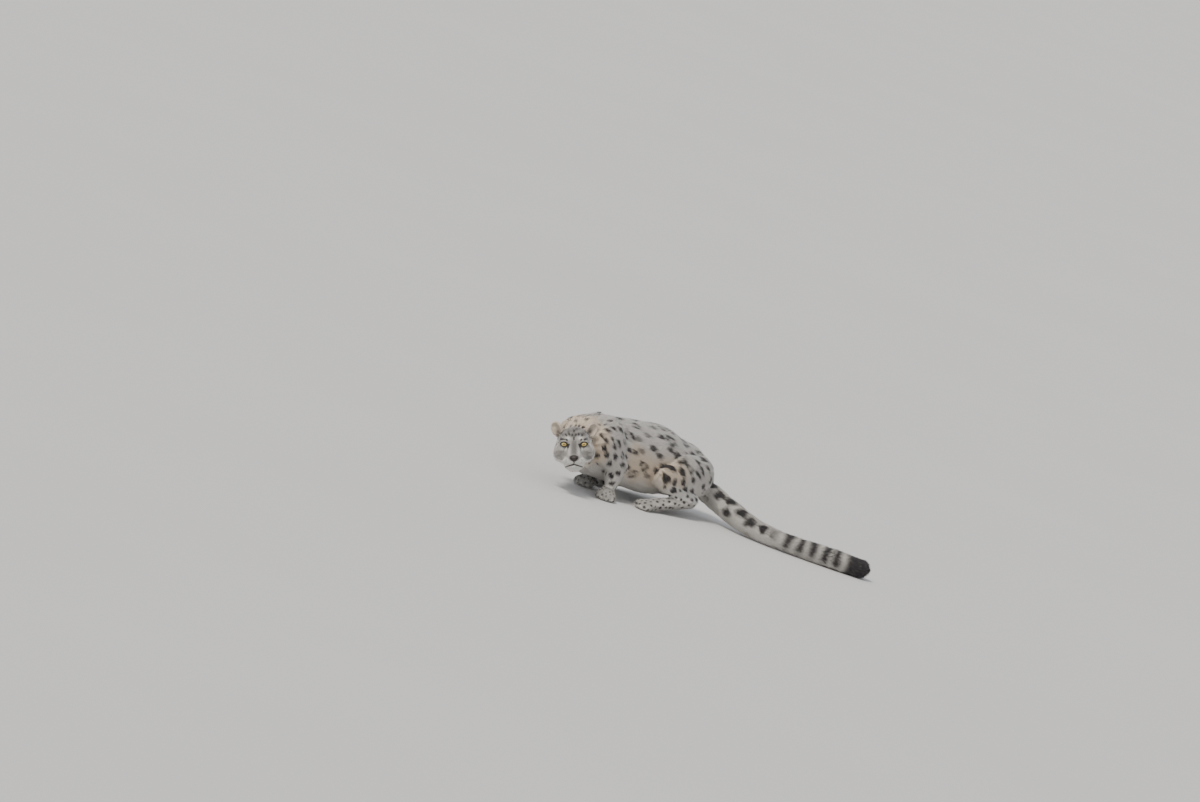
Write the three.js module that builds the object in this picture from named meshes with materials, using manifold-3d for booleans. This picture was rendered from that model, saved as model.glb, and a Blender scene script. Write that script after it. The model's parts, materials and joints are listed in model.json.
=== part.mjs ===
// A snow leopard crouching on level ground, life size, its head turned to its left to look at the viewer.
// Millimetres, +Z up. The animal faces -X, its left side is -Y, and the tail lies on the ground to its left.
// Every surface is the outside of the coat. A body part is a set of soft balls and tapered rods that blend
// into one another, and its mesh is cast outwards onto that form from a line that runs inside it.

import * as THREE from "three";
import { mergeVertices } from "three/addons/utils/BufferGeometryUtils.js";
import Module from "manifold-3d";

const wasm = await Module();
wasm.setup();

// Driving dimensions

const GAP = 0.3;
const SLIVER = 0.06;
const LEFT = -1;
const RIGHT = 1;

const BODY = { chestWidth: 198, bellyWidth: 262, rumpWidth: 216, backTop: 330 };
const TAIL = { radius: 45, tipRadius: 39, rootSwell: 14 };

// The head's middle lies between the cheeks. It looks along yaw (from straight ahead, to its left), up by
// pitch, and leans by roll.
const HEAD = { middle: [-229, -114, 177], yaw: 50, pitch: 7, roll: 19 };
const EYE = { side: 39, forward: 47, up: 9, radius: 16.5, opening: 12.5 };
const NOSE = { forward: 121, up: -45, width: 36, height: 19, depth: 20 };
const MOUTH = { halfWidth: 35, up: -71, fall: 6, groove: 1.8 };
const EAR = { side: 67, forward: -22, up: [62, 68], width: 25, height: 33, depth: 15, wall: 5 };

// The right elbow and wrist are set back from the left ones, and both paws turn with the gaze.
const FORELEG = {
  blade: [-15, 52, 264],
  shoulder: [-98, 80, 202],
  elbow: [22, 104, 140],
  wrist: [24, 100, 46],
};
const PLACED = [
  { word: "left", side: LEFT, setBack: 0, turn: 46 },
  { word: "right", side: RIGHT, setBack: 60, turn: 30 },
];
const PAW = { length: 98, width: 84, toeSpread: 19.5 };
const HINDLEG = {
  hip: [440, 72, 178],
  knee: [243, 128, 142],
  hock: [408, 142, 72],
  ball: [240, 158, 30],
};

const v = (list) => new THREE.Vector3(...list);
const onSide = (list, side) => v([list[0], list[1] * side, list[2]]);

// Forms: each is a function that gives a point's rough distance outside the surface, in millimetres

// An ellipsoid with its middle, its three radii and an optional turn.
function ball(middle, radii, turn = null) {
  const back = turn ? turn.clone().invert() : null;
  const p = new THREE.Vector3();
  return (point) => {
    p.copy(point).sub(middle);
    if (back) p.applyQuaternion(back);
    const near = Math.hypot(p.x / radii[0], p.y / radii[1], p.z / radii[2]);
    const steep = Math.hypot(p.x / radii[0] ** 2, p.y / radii[1] ** 2, p.z / radii[2] ** 2);
    return steep < 1e-9 ? -Math.min(...radii) : (near * (near - 1)) / steep;
  };
}

// A round rod that tapers from one radius to the other.
function rod(from, to, fromRadius, toRadius) {
  const along = to.clone().sub(from);
  const length2 = along.lengthSq();
  const p = new THREE.Vector3();
  return (point) => {
    p.copy(point).sub(from);
    const t = THREE.MathUtils.clamp(p.dot(along) / length2, 0, 1);
    return p.addScaledVector(along, -t).length() - THREE.MathUtils.lerp(fromRadius, toRadius, t);
  };
}

// Several forms run into one, with soft joins about as wide as softness.
function blend(softness, forms) {
  return (point) => {
    let sum = 0;
    for (const form of forms) sum += Math.exp(-form(point) / softness);
    return -softness * Math.log(sum);
  };
}

// A form with soft hollows pressed into it.
function dent(softness, form, hollows) {
  return (point) => {
    let sum = Math.exp(form(point) / softness);
    for (const hollow of hollows) sum += Math.exp(-hollow(point) / softness);
    return softness * Math.log(sum);
  };
}

// How far a ray from a point inside the form runs before it leaves the form.
function reachOf(form, origin, direction, furthest) {
  const p = new THREE.Vector3();
  const at = (r) => form(p.copy(origin).addScaledVector(direction, r));
  const steps = 40;
  let low = 0;
  let high = furthest;
  for (let i = 1; i <= steps; i++) {
    const r = (furthest * i) / steps;
    if (at(r) > 0) {
      high = r;
      break;
    }
    low = r;
  }
  for (let i = 0; i < 14; i++) {
    const middle = (low + high) / 2;
    if (at(middle) > 0) high = middle;
    else low = middle;
  }
  return Math.max((low + high) / 2, 0.8);
}

// A closed mesh cast onto a form from a line inside it: rings across the line and a dome at each end.
// A flat end has no dome, so that the next length of the same limb can meet it face to face.
function castSkin(form, line, { sides, rings, domes = [4, 4], furthest = 260, grow = 0, across = [0, 0, 1] }) {
  const grown = (point) => form(point) - grow;
  const stations = [];
  const start = line.getPointAt(0);
  const end = line.getPointAt(1);
  for (let i = 1; i <= domes[0]; i++) stations.push([start, 0, -Math.PI / 2 + (i * Math.PI) / 2 / (domes[0] + 1)]);
  for (let i = 0; i <= rings; i++) stations.push([line.getPointAt(i / rings), i / rings, 0]);
  for (let i = domes[1]; i >= 1; i--) stations.push([end, 1, Math.PI / 2 - (i * Math.PI) / 2 / (domes[1] + 1)]);
  const positions = [];
  const axesAt = (t) => {
    const along = line.getTangentAt(t).normalize();
    const side = new THREE.Vector3().crossVectors(v(across), along).normalize();
    return [along, side, new THREE.Vector3().crossVectors(along, side)];
  };
  for (const [origin, t, tilt] of stations) {
    const [along, side, up] = axesAt(t);
    for (let k = 0; k < sides; k++) {
      const a = (2 * Math.PI * k) / sides;
      const direction = new THREE.Vector3()
        .addScaledVector(side, Math.cos(a) * Math.cos(tilt))
        .addScaledVector(up, Math.sin(a) * Math.cos(tilt))
        .addScaledVector(along, Math.sin(tilt));
      positions.push(origin.clone().addScaledVector(direction, reachOf(grown, origin, direction, furthest)));
    }
  }
  const poles = [0, 1].map((t) => {
    const along = axesAt(t)[0].multiplyScalar(t ? 1 : -1);
    const origin = t ? end : start;
    if (!domes[t]) return origin.clone();
    return origin.clone().addScaledVector(along, reachOf(grown, origin, along, furthest));
  });
  const faces = [];
  const n = stations.length;
  const first = positions.push(poles[0]) - 1;
  const last = positions.push(poles[1]) - 1;
  for (let k = 0; k < sides; k++) {
    const next = (k + 1) % sides;
    faces.push(first, next, k);
    faces.push(last, (n - 1) * sides + k, (n - 1) * sides + next);
    for (let j = 0; j < n - 1; j++) {
      const a = j * sides + k;
      const b = j * sides + next;
      faces.push(a, b, b + sides, a, b + sides, a + sides);
    }
  }
  return new THREE.BufferGeometry().setFromPoints(positions).setIndex(faces);
}

// Solids

function solidOf(geometry) {
  const bare = geometry.index ? geometry.toNonIndexed() : geometry.clone();
  for (const name of Object.keys(bare.attributes)) if (name !== "position") bare.deleteAttribute(name);
  const merged = mergeVertices(bare, 1e-3);
  const solid = new wasm.Manifold(
    new wasm.Mesh({
      numProp: 3,
      vertProperties: new Float32Array(merged.attributes.position.array),
      triVerts: new Uint32Array(merged.index.array),
    }),
  );
  if (solid.volume() < 0) throw new Error("a mesh is inside out");
  return solid;
}

const largestOf = (solid) => solid.decompose().sort((a, b) => b.volume() - a.volume())[0];

function geometryOf(solid) {
  const mesh = solid.getMesh();
  const points = new Float32Array(mesh.numVert * 3);
  for (let i = 0; i < mesh.numVert; i++) {
    points.set(mesh.vertProperties.subarray(i * mesh.numProp, i * mesh.numProp + 3), i * 3);
  }
  return new THREE.BufferGeometry()
    .setAttribute("position", new THREE.BufferAttribute(points, 3))
    .setIndex(new THREE.BufferAttribute(new Uint32Array(mesh.triVerts), 1))
    .toNonIndexed();
}

// A part of the body: the solid itself, and the same solid a little larger, to cut its neighbours with.
function bodyPart(form, line, options) {
  return {
    solid: solidOf(castSkin(form, line, options)),
    cutter: solidOf(castSkin(form, line, { ...options, grow: GAP })),
  };
}

const without = (part, ...others) => ({
  ...part,
  solid: others.reduce((left, other) => left.subtract(other.cutter), part.solid),
});

// A part of a leg, cut off short of the animal's middle, so that the torso runs through between the legs.
function keptToSide(part, side, margin) {
  const beyond = (edge) => solidOf(new THREE.BoxGeometry(4000, 400, 4000).translate(0, (edge - 200) * side, 0));
  return { solid: part.solid.subtract(beyond(margin)), cutter: part.cutter.subtract(beyond(margin - GAP)) };
}

const lineThrough = (...points) => new THREE.CatmullRomCurve3(points, false, "centripetal");

// Below the ground: what reaches into it is cut flat, so that the animal rests on small flats at one level.
const groundBlock = solidOf(new THREE.BoxGeometry(4000, 4000, 400).translate(0, 0, -200));

// Head: its own frame has x to the animal's right, y forward and z up

const toRadians = THREE.MathUtils.degToRad;
const forward = new THREE.Vector3(
  -Math.cos(toRadians(HEAD.yaw)) * Math.cos(toRadians(HEAD.pitch)),
  -Math.sin(toRadians(HEAD.yaw)) * Math.cos(toRadians(HEAD.pitch)),
  Math.sin(toRadians(HEAD.pitch)),
);
const levelLeft = new THREE.Vector3(0, 0, 1).cross(forward).normalize();
const levelUp = new THREE.Vector3().crossVectors(forward, levelLeft);
const headLeft = levelLeft
  .clone()
  .multiplyScalar(Math.cos(toRadians(HEAD.roll)))
  .addScaledVector(levelUp, Math.sin(toRadians(HEAD.roll)));
const headUp = new THREE.Vector3().crossVectors(forward, headLeft);
const headRight = headLeft.clone().negate();
const headFrame = new THREE.Matrix4().makeBasis(headRight, forward, headUp).setPosition(v(HEAD.middle));

const turned = (x, y, z) => new THREE.Quaternion().setFromEuler(new THREE.Euler(x, y, z));

function headForm() {
  const both = (make) => [make(LEFT), make(RIGHT)];
  const mass = blend(7, [
    ball(v([0, -30, 16]), [68, 78, 61]),
    ball(v([0, 20, 43]), [51, 38, 35]),
    ...both((s) => ball(v([52 * s, -4, -24]), [31, 44, 40])),
    ...both((s) => ball(v([50 * s, 26, -24]), [24, 26, 26])),
    ...both((s) => ball(v([40 * s, 46, 27]), [23, 16, 9])),
    ...both((s) => ball(v([41 * s, 46, -7]), [18, 14, 12])),
    rod(v([0, 44, 14]), v([0, 94, -34]), 22, 19),
    rod(v([0, 40, -40]), v([0, 78, -54]), 36, 27),
    ...both((s) => ball(v([22 * s, 90, -57]), [22, 21, 16])),
    ball(v([0, 98, -38]), [16, 15, 12]),
    ball(v([0, 78, -86]), [22, 23, 12]),
    ball(v([0, 36, -72]), [40, 44, 24]),
  ]);
  return dent(3, mass, both((s) => ball(v([EYE.side * s, EYE.forward + 19, EYE.up]), [15, 9, 9])));
}

// A rounded ridge of even or tapering thickness along a curve.
function ridge(line, radius, steps, sides) {
  const section = new THREE.Shape();
  section.absarc(0, 0, radius, 0, 2 * Math.PI);
  return solidOf(
    new THREE.ExtrudeGeometry(section, { steps, curveSegments: sides, bevelEnabled: false, extrudePath: line }),
  );
}

// The rim of one lid: an arc over the eyeball from the inner corner to the outer one.
function lid(side, upper) {
  const points = [];
  const steps = 6;
  for (let i = 0; i <= steps; i++) {
    const a = Math.PI * (i / steps);
    const sideways = -Math.cos(a) * EYE.opening;
    const rise = Math.sin(a) * (upper ? 8.5 : -7) + (i / steps - 0.5) * 4;
    const bulge = Math.sqrt(EYE.radius ** 2 - sideways ** 2 - rise ** 2);
    points.push(v([(EYE.side + sideways) * side, EYE.forward + bulge + 0.4, EYE.up + rise]));
  }
  return ridge(lineThrough(...points), 3, 8, 5);
}

function makeHead() {
  const line = lineThrough(v([0, -50, 0]), v([0, 0, 0]), v([0, 46, -26]));
  const form = headForm();
  const shape = { sides: 38, rings: 5, domes: [3, 14], furthest: 170 };
  const cutter = solidOf(castSkin(form, line, { ...shape, grow: GAP }));
  let solid = solidOf(castSkin(form, line, shape));
  for (const side of [LEFT, RIGHT]) for (const upper of [true, false]) solid = solid.add(lid(side, upper));
  const onFace = (x, z) => v([x, 40 + reachOf(form, v([x, 40, z]), v([0, 1, 0]), 120), z]);
  const lips = [-1, -0.75, -0.5, -0.25, 0, 0.25, 0.5, 0.75, 1].map((share) =>
    onFace(MOUTH.halfWidth * share, MOUTH.up - MOUTH.fall * Math.abs(share) ** 1.3),
  );
  solid = solid.subtract(ridge(lineThrough(...lips), MOUTH.groove, 16, 4));
  const parting = lineThrough(onFace(0, NOSE.up - 9), onFace(0, MOUTH.up + 2));
  return { solid: solid.subtract(ridge(parting, 1.2, 2, 4)), cutter };
}

function makeNose() {
  const form = blend(2, [
    ball(v([0, NOSE.forward - 8, NOSE.up + 2]), [NOSE.width / 2, NOSE.depth / 2, NOSE.height / 2.3]),
    ball(v([0, NOSE.forward - 8, NOSE.up - 5]), [NOSE.width / 4, NOSE.depth / 2.2, NOSE.height / 2.8]),
  ]);
  const line = lineThrough(v([0, NOSE.forward - 12, NOSE.up]), v([0, NOSE.forward - 6, NOSE.up]));
  const part = bodyPart(form, line, { sides: 14, rings: 1, domes: [2, 3], furthest: 40 });
  for (const side of [LEFT, RIGHT]) {
    const nostril = lineThrough(
      v([9 * side, NOSE.forward + 8, NOSE.up - 3]),
      v([10.5 * side, NOSE.forward - 5, NOSE.up - 1]),
    );
    part.solid = part.solid.subtract(ridge(nostril, 3.2, 2, 5));
  }
  return part;
}

function makeEye(side) {
  const middle = [EYE.side * side, EYE.forward, EYE.up];
  const sphere = (radius) => solidOf(new THREE.SphereGeometry(radius, 14, 9).translate(...middle));
  return { solid: sphere(EYE.radius), cutter: sphere(EYE.radius + GAP) };
}

// An ear: a rounded shell that stands on the side of the crown, with its cup turned forward and outward.
function makeEar(side) {
  const turn = turned(toRadians(-6), toRadians(24 * side), toRadians(-26 * side));
  const middle = v([EAR.side * side, EAR.forward, EAR.up[side === LEFT ? 0 : 1]]);
  const outer = ball(middle, [EAR.width, EAR.depth, EAR.height], turn);
  const cupMiddle = v([0, 13, 5]).applyQuaternion(turn).add(middle);
  const cup = ball(cupMiddle, [EAR.width - EAR.wall, EAR.depth, EAR.height - EAR.wall - 2], turn);
  const up = v([0, 0, 8]).applyQuaternion(turn);
  const line = (centre) => lineThrough(centre.clone().sub(up), centre.clone().add(up));
  const shape = { sides: 16, rings: 1, domes: [3, 3], furthest: 80, across: [0, 1, 0.1] };
  const part = bodyPart(outer, line(middle), shape);
  part.solid = part.solid.subtract(solidOf(castSkin(cup, line(cupMiddle), shape)));
  return part;
}

// Neck and torso

function makeNeck() {
  const nape = v([-112, -18, 211]);
  const occiput = v([-172, -52, 186]);
  const form = blend(14, [
    rod(v([-40, 0, 200]), nape, 84, 76),
    rod(nape, occiput, 76, 64),
    ball(v([-120, -20, 140]), [64, 76, 70]),
  ]);
  return bodyPart(form, lineThrough(v([-40, 0, 195]), nape, occiput), { sides: 20, rings: 3, domes: [2, 3] });
}

function makeTorso() {
  const form = blend(16, [
    ball(v([-25, 0, 190]), [118, BODY.chestWidth / 2, 108]),
    ball(v([110, 0, 186]), [170, 114, 130]),
    ball(v([245, 0, 181]), [175, BODY.bellyWidth / 2, BODY.backTop - 189]),
    ball(v([405, 0, 172]), [130, BODY.rumpWidth / 2, 108]),
    ball(v([492, 0, 146]), [98, 80, 84]),
    rod(v([-60, 0, 140]), v([430, 0, 126]), 74, 66),
    ball(v([-20, 0, 266]), [80, 60, 32]),
  ]);
  const line = lineThrough(v([-60, 0, 185]), v([110, 0, 180]), v([300, 0, 170]), v([440, 0, 155]), v([520, 0, 130]));
  return bodyPart(form, line, { sides: 24, rings: 13, domes: [3, 3] });
}

// Legs

// The shoulder blade and the upper arm, which stand out of the chest as one mass.
function makeShoulder(side, setBack) {
  const blade = onSide(FORELEG.blade, side);
  const shoulder = onSide(FORELEG.shoulder, side);
  const elbow = onSide(FORELEG.elbow, side).add(v([setBack, 0, 0]));
  const form = blend(13, [
    rod(blade, shoulder, 42, 48),
    rod(shoulder, elbow, 48, 40),
    ball(onSide([-36, 82, 205], side), [84, 44, 66]),
  ]);
  const line = lineThrough(onSide([-36, 74, 232], side), elbow.clone().lerp(shoulder, 0.3));
  return keptToSide(bodyPart(form, line, { sides: 20, rings: 4, domes: [3, 4], across: [0, 1, 0] }), side, 14);
}

function makeForearm(side, setBack) {
  const elbow = onSide(FORELEG.elbow, side).add(v([setBack, 0, 0]));
  const wrist = onSide(FORELEG.wrist, side).add(v([setBack, 0, 0]));
  const form = blend(8, [rod(elbow, wrist, 33, 24), rod(elbow, elbow.clone().lerp(wrist, 0.5), 34, 31)]);
  return bodyPart(form, lineThrough(elbow, wrist), { sides: 14, rings: 4, domes: [2, 2], across: [0, 1, 0] });
}

// A broad paw: a low pad and four rounded toes with clefts between them, spread across its front.
function makePaw(heel, heading, reach) {
  const across = new THREE.Vector3(-heading.y, heading.x, 0);
  const base = v([heel.x, heel.y, 0]);
  const place = (along, sideways, up) =>
    base.clone().addScaledVector(heading, along).addScaledVector(across, sideways).setZ(up);
  const turn = new THREE.Quaternion().setFromAxisAngle(v([0, 0, 1]), Math.atan2(heading.y, heading.x));
  const toes = [-1.5, -0.5, 0.5, 1.5].map((step) => {
    const ahead = reach - 21 - 7 * Math.abs(step) ** 1.6;
    return ball(place(ahead, step * PAW.toeSpread, 17), [25, 11.5, 18], turn);
  });
  const form = blend(3.2, [
    rod(heel, place(reach - 62, 0, 24), 27, 25),
    ball(place(reach - 58, 0, 20), [40, PAW.width / 2 - 4, 27], turn),
    ...toes,
  ]);
  const line = lineThrough(heel, place(reach - 74, 0, 20), place(reach - 34, 0, 15));
  return bodyPart(form, line, { sides: 22, rings: 4, domes: [2, 5], furthest: 120 });
}

// The thigh, the shank folded under it, and the long hind foot that lies along the ground.
function makeThigh(side) {
  const hip = onSide(HINDLEG.hip, side);
  const knee = onSide(HINDLEG.knee, side);
  const form = blend(14, [
    rod(hip, knee, 74, 46),
    ball(onSide([350, 104, 161], side), [118, 48, 84]),
    ball(onSide([475, 62, 150], side), [66, 44, 66]),
    ball(onSide([405, 96, 128], side), [74, 40, 50]),
  ]);
  const line = lineThrough(onSide([452, 74, 158], side), onSide([345, 100, 152], side), onSide([258, 124, 144], side));
  return keptToSide(bodyPart(form, line, { sides: 18, rings: 6, domes: [3, 3] }), side, 14);
}

function makeShank(side) {
  const knee = onSide(HINDLEG.knee, side);
  const hock = onSide(HINDLEG.hock, side);
  const top = knee.clone().add(v([20, 4 * side, -28]));
  const form = blend(8, [rod(top, hock, 34, 24), ball(hock.clone().add(v([14, 0, 6])), [22, 16, 22])]);
  return bodyPart(form, lineThrough(top, hock), { sides: 14, rings: 4, domes: [2, 2] });
}

function makeHindFoot(side) {
  const hock = onSide(HINDLEG.hock, side).add(v([0, 0, -6]));
  const ballOfFoot = onSide(HINDLEG.ball, side);
  const heading = ballOfFoot.clone().sub(hock).setZ(0).normalize();
  return makePaw(hock, heading, 278);
}

// Tail: from the rump it sinks to the ground and swings to the animal's left, in four lengths

const tailLine = lineThrough(
  v([525, 0, 126]),
  v([574, -40, 104]),
  v([606, -132, 76]),
  v([638, -258, 50]),
  v([694, -376, 41]),
  v([778, -468, 40]),
  v([868, -546, 40]),
  v([953, -614, 39]),
);

function makeTail() {
  const lengths = ["tail_root", "tail_middle", "tail_lower", "tail_tip"];
  const share = 1 / lengths.length;
  const points = tailLine.getSpacedPoints(40);
  const radiusAt = (t) => {
    const root = TAIL.rootSwell * Math.exp(-t * 9);
    return TAIL.radius + root + (TAIL.tipRadius - TAIL.radius) * t + 3 * Math.sin(t * 11 - 1.7);
  };
  const length = tailLine.getLength();
  const gapShare = GAP / length / 2;
  const form = (point) => {
    let best = Infinity;
    points.forEach((p, i) => {
      best = Math.min(best, point.distanceTo(p) - radiusAt(i / (points.length - 1)));
    });
    return best;
  };
  return lengths.map((name, i) => {
    const from = i ? i * share + gapShare : 0;
    const to = i < lengths.length - 1 ? (i + 1) * share - gapShare : 1;
    const stretch = new (class extends THREE.Curve {
      getPoint(t, target = new THREE.Vector3()) {
        return tailLine.getPointAt(from + (to - from) * t, target);
      }
    })();
    const domes = [i ? 0 : 3, i < lengths.length - 1 ? 0 : 5];
    return [name, bodyPart(form, stretch, { sides: 14, rings: 8, domes, furthest: 90 })];
  });
}

// Assembly

const parts = new Map();
const inHeadFrame = new Set();
const add = (name, part, colour) => parts.set(name, { ...part, colour });

const COAT = 0xcfc6b8;
const PALE = 0xe6ddcd;
const DARK = 0x1c1a1a;

const headNodes = [
  ["eye_left", makeEye(LEFT), 0xb9a55a],
  ["eye_right", makeEye(RIGHT), 0xb9a55a],
  ["nose", makeNose(), 0x4a3534],
  ["head", makeHead(), COAT],
  ["ear_left", makeEar(LEFT), PALE],
  ["ear_right", makeEar(RIGHT), PALE],
];
for (const [name, part, colour] of headNodes) {
  add(name, part, colour);
  inHeadFrame.add(name);
}
const cut = (name, ...others) => {
  const part = parts.get(name);
  parts.set(name, without(part, ...others.map((other) => parts.get(other))));
};
cut("head", "eye_left", "eye_right", "nose");
cut("ear_left", "head");
cut("ear_right", "head");

for (const name of inHeadFrame) {
  const part = parts.get(name);
  const place = (solid) => solid.transform(Array.from(headFrame.elements));
  parts.set(name, { ...part, solid: place(part.solid), cutter: place(part.cutter) });
}

add("neck", makeNeck(), COAT);
add("torso", makeTorso(), COAT);
const HEADING = v([-1, 0, 0]);
for (const { word, side, setBack, turn } of PLACED) {
  add(`shoulder_${word}`, makeShoulder(side, setBack), COAT);
  add(`forearm_${word}`, makeForearm(side, setBack), COAT);
  const wrist = onSide(FORELEG.wrist, side).add(v([setBack, 0, -12]));
  const heading = HEADING.clone().applyAxisAngle(v([0, 0, 1]), toRadians(turn));
  add(`forepaw_${word}`, makePaw(wrist, heading, PAW.length), PALE);
  add(`thigh_${word}`, makeThigh(side), COAT);
  add(`shank_${word}`, makeShank(side), COAT);
  add(`hindfoot_${word}`, makeHindFoot(side), PALE);
}
for (const [name, part] of makeTail()) add(name, part, name === "tail_tip" ? DARK : COAT);

for (const word of ["left", "right"]) {
  cut(`shoulder_${word}`, "head", "ear_left", "ear_right");
  cut(`forepaw_${word}`, `shoulder_${word}`, "head");
  cut(`forearm_${word}`, `shoulder_${word}`, `forepaw_${word}`, "head");
  cut(`hindfoot_${word}`, `thigh_${word}`);
  cut(`shank_${word}`, `thigh_${word}`, `hindfoot_${word}`);
}
const legs = ["left", "right"].flatMap((word) =>
  ["shoulder", "forearm", "forepaw", "thigh", "shank", "hindfoot"].map((piece) => `${piece}_${word}`),
);
cut("torso", ...legs, "head");
cut("neck", "torso", "shoulder_left", "shoulder_right", "forearm_left", "forearm_right", "head", "ear_left", "ear_right");
cut("tail_root", "torso", "thigh_left", "thigh_right");

const animal = new THREE.Group();
for (const [name, { solid, colour }] of parts) {
  const rough = name.startsWith("eye") ? 0.1 : 0.9;
  const material = new THREE.MeshStandardMaterial({ color: colour, roughness: rough, metalness: 0 });
  const mesh = new THREE.Mesh(geometryOf(largestOf(solid.subtract(groundBlock)).simplify(SLIVER)), material);
  mesh.name = name;
  animal.add(mesh);
}

// The origin is the middle of the whole animal's box, on the ground.
const box = new THREE.Box3().setFromObject(animal);
animal.position.set(-(box.min.x + box.max.x) / 2, -(box.min.y + box.max.y) / 2, -box.min.z);

export default animal;
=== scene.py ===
"""Dresses the packed snow leopard: one skin under its coat, the coat as mesh tufts, eyes, nose and whiskers.

Lengths in the dataclasses are millimetres. The animal's own axes have their origin on the ground under the
withers: the animal faces -X, its left side is -Y and +Z is up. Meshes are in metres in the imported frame.
"""

from __future__ import annotations

import json
import logging
import math
from dataclasses import dataclass, field
from enum import Enum

import bpy
import numpy as np
from mathutils import Matrix, Vector
from mathutils.bvhtree import BVHTree
from mathutils.kdtree import KDTree

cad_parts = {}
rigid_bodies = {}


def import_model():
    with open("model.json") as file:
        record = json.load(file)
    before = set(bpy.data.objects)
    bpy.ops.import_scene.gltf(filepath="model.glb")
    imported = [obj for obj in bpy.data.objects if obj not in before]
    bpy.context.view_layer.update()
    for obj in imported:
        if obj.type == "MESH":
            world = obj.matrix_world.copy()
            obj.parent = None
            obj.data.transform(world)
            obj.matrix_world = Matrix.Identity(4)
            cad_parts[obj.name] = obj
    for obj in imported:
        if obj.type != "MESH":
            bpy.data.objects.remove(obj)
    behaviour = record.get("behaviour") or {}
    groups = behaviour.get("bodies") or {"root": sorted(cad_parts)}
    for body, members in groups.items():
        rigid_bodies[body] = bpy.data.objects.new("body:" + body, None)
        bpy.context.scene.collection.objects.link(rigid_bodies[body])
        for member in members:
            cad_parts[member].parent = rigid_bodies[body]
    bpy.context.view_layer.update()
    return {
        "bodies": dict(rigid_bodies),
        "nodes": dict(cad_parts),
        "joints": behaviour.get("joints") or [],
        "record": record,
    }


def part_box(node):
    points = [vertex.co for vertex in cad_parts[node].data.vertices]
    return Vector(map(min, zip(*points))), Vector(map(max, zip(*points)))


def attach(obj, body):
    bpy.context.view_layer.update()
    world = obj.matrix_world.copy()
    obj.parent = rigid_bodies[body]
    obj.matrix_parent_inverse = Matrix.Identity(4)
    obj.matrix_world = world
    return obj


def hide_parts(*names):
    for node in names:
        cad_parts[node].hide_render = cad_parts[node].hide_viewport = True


LOG = logging.getLogger("snow_leopard")
MM = 0.001
LEFT = -1
RIGHT = 1
FAR = 9.0


def unit(rows: np.ndarray) -> np.ndarray:
    """Scales each row to length one.

    Args:
        rows: Vectors along the last axis.

    Returns:
        The same vectors at length one.
    """
    return rows / np.maximum(np.linalg.norm(rows, axis=-1, keepdims=True), 1e-9)


def smooth_step(low: float, high: float, values: np.ndarray) -> np.ndarray:
    """Eases values from 0 at low to 1 at high.

    Args:
        low: Where the result starts to leave 0.
        high: Where the result reaches 1.
        values: The values to ease.

    Returns:
        An array from 0 to 1.
    """
    share = np.clip((values - low) / (high - low), 0.0, 1.0)
    return share * share * (3.0 - 2.0 * share)


def ripple(points: np.ndarray, wavelength: float, seed: int, waves: int = 7) -> np.ndarray:
    """Gives a smooth, seeded, wandering value between about -1 and 1 at each point.

    Args:
        points: Places in metres.
        wavelength: The middle wavelength in metres.
        seed: Picks the waves.
        waves: How many waves are summed.

    Returns:
        One value for each point.
    """
    draw = np.random.default_rng(seed)
    total = np.zeros(len(points))
    for _ in range(waves):
        heading = unit(draw.normal(size=3))
        turns = 2 * math.pi / (wavelength * draw.uniform(0.7, 1.5))
        total += np.sin(points @ heading * turns + draw.uniform(0, 2 * math.pi))
    return total / math.sqrt(waves)


@dataclass(frozen=True)
class Stance:
    """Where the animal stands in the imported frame, and how its head and the camera are turned."""

    withers_to_ground: tuple[float, float, float]
    head_middle: tuple[float, float, float] = (-229, -114, 177)
    head_yaw: float = 50
    head_pitch: float = 7
    head_roll: float = 19
    eye_forward: float = 47
    eye_side: float = 39
    eye_up: float = 9

    @classmethod
    def of_frame(cls) -> Stance:
        """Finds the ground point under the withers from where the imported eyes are.

        Returns:
            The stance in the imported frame.
        """
        boxes = [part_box(name) for name in ("eye_left", "eye_right")]
        between = sum((low + high for low, high in boxes), Vector()) / 4 / MM
        probe = cls((0, 0, 0))
        eyes = probe.head_point_mm(0, probe.eye_forward, probe.eye_up)
        return cls(tuple(between[i] - eyes[i] for i in range(3)))

    def head_axes(self) -> np.ndarray:
        """Gives the head's own axes: to the animal's right, forward and up.

        Returns:
            Three rows of length one.
        """
        yaw, pitch, roll = (math.radians(a) for a in (self.head_yaw, self.head_pitch, self.head_roll))
        level = math.cos(pitch)
        forward = np.array([-math.cos(yaw) * level, -math.sin(yaw) * level, math.sin(pitch)])
        level_left = unit(np.cross([0, 0, 1], forward))
        level_up = np.cross(forward, level_left)
        left = math.cos(roll) * level_left + math.sin(roll) * level_up
        return np.array([-left, forward, np.cross(forward, left)])

    def head_point_mm(self, side: float, forward: float, up: float) -> np.ndarray:
        """Turns head coordinates into the animal's own, in millimetres."""
        return np.array(self.head_middle) + np.array([side, forward, up]) @ self.head_axes()

    def head_point(self, side: float, forward: float, up: float) -> np.ndarray:
        """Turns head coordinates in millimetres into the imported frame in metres."""
        return self.point(*self.head_point_mm(side, forward, up))

    def in_head(self, points: np.ndarray) -> np.ndarray:
        """Turns packed-frame points in metres into head coordinates in millimetres."""
        return (points - self.head_point(0, 0, 0)) @ self.head_axes().T / MM

    def point(self, x: float, y: float, z: float) -> np.ndarray:
        """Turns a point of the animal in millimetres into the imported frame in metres."""
        return (np.array([x, y, z]) + self.withers_to_ground) * MM

    def in_body(self, points: np.ndarray) -> np.ndarray:
        """Turns packed-frame points in metres into the animal's own millimetres."""
        return points / MM - self.withers_to_ground


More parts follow.
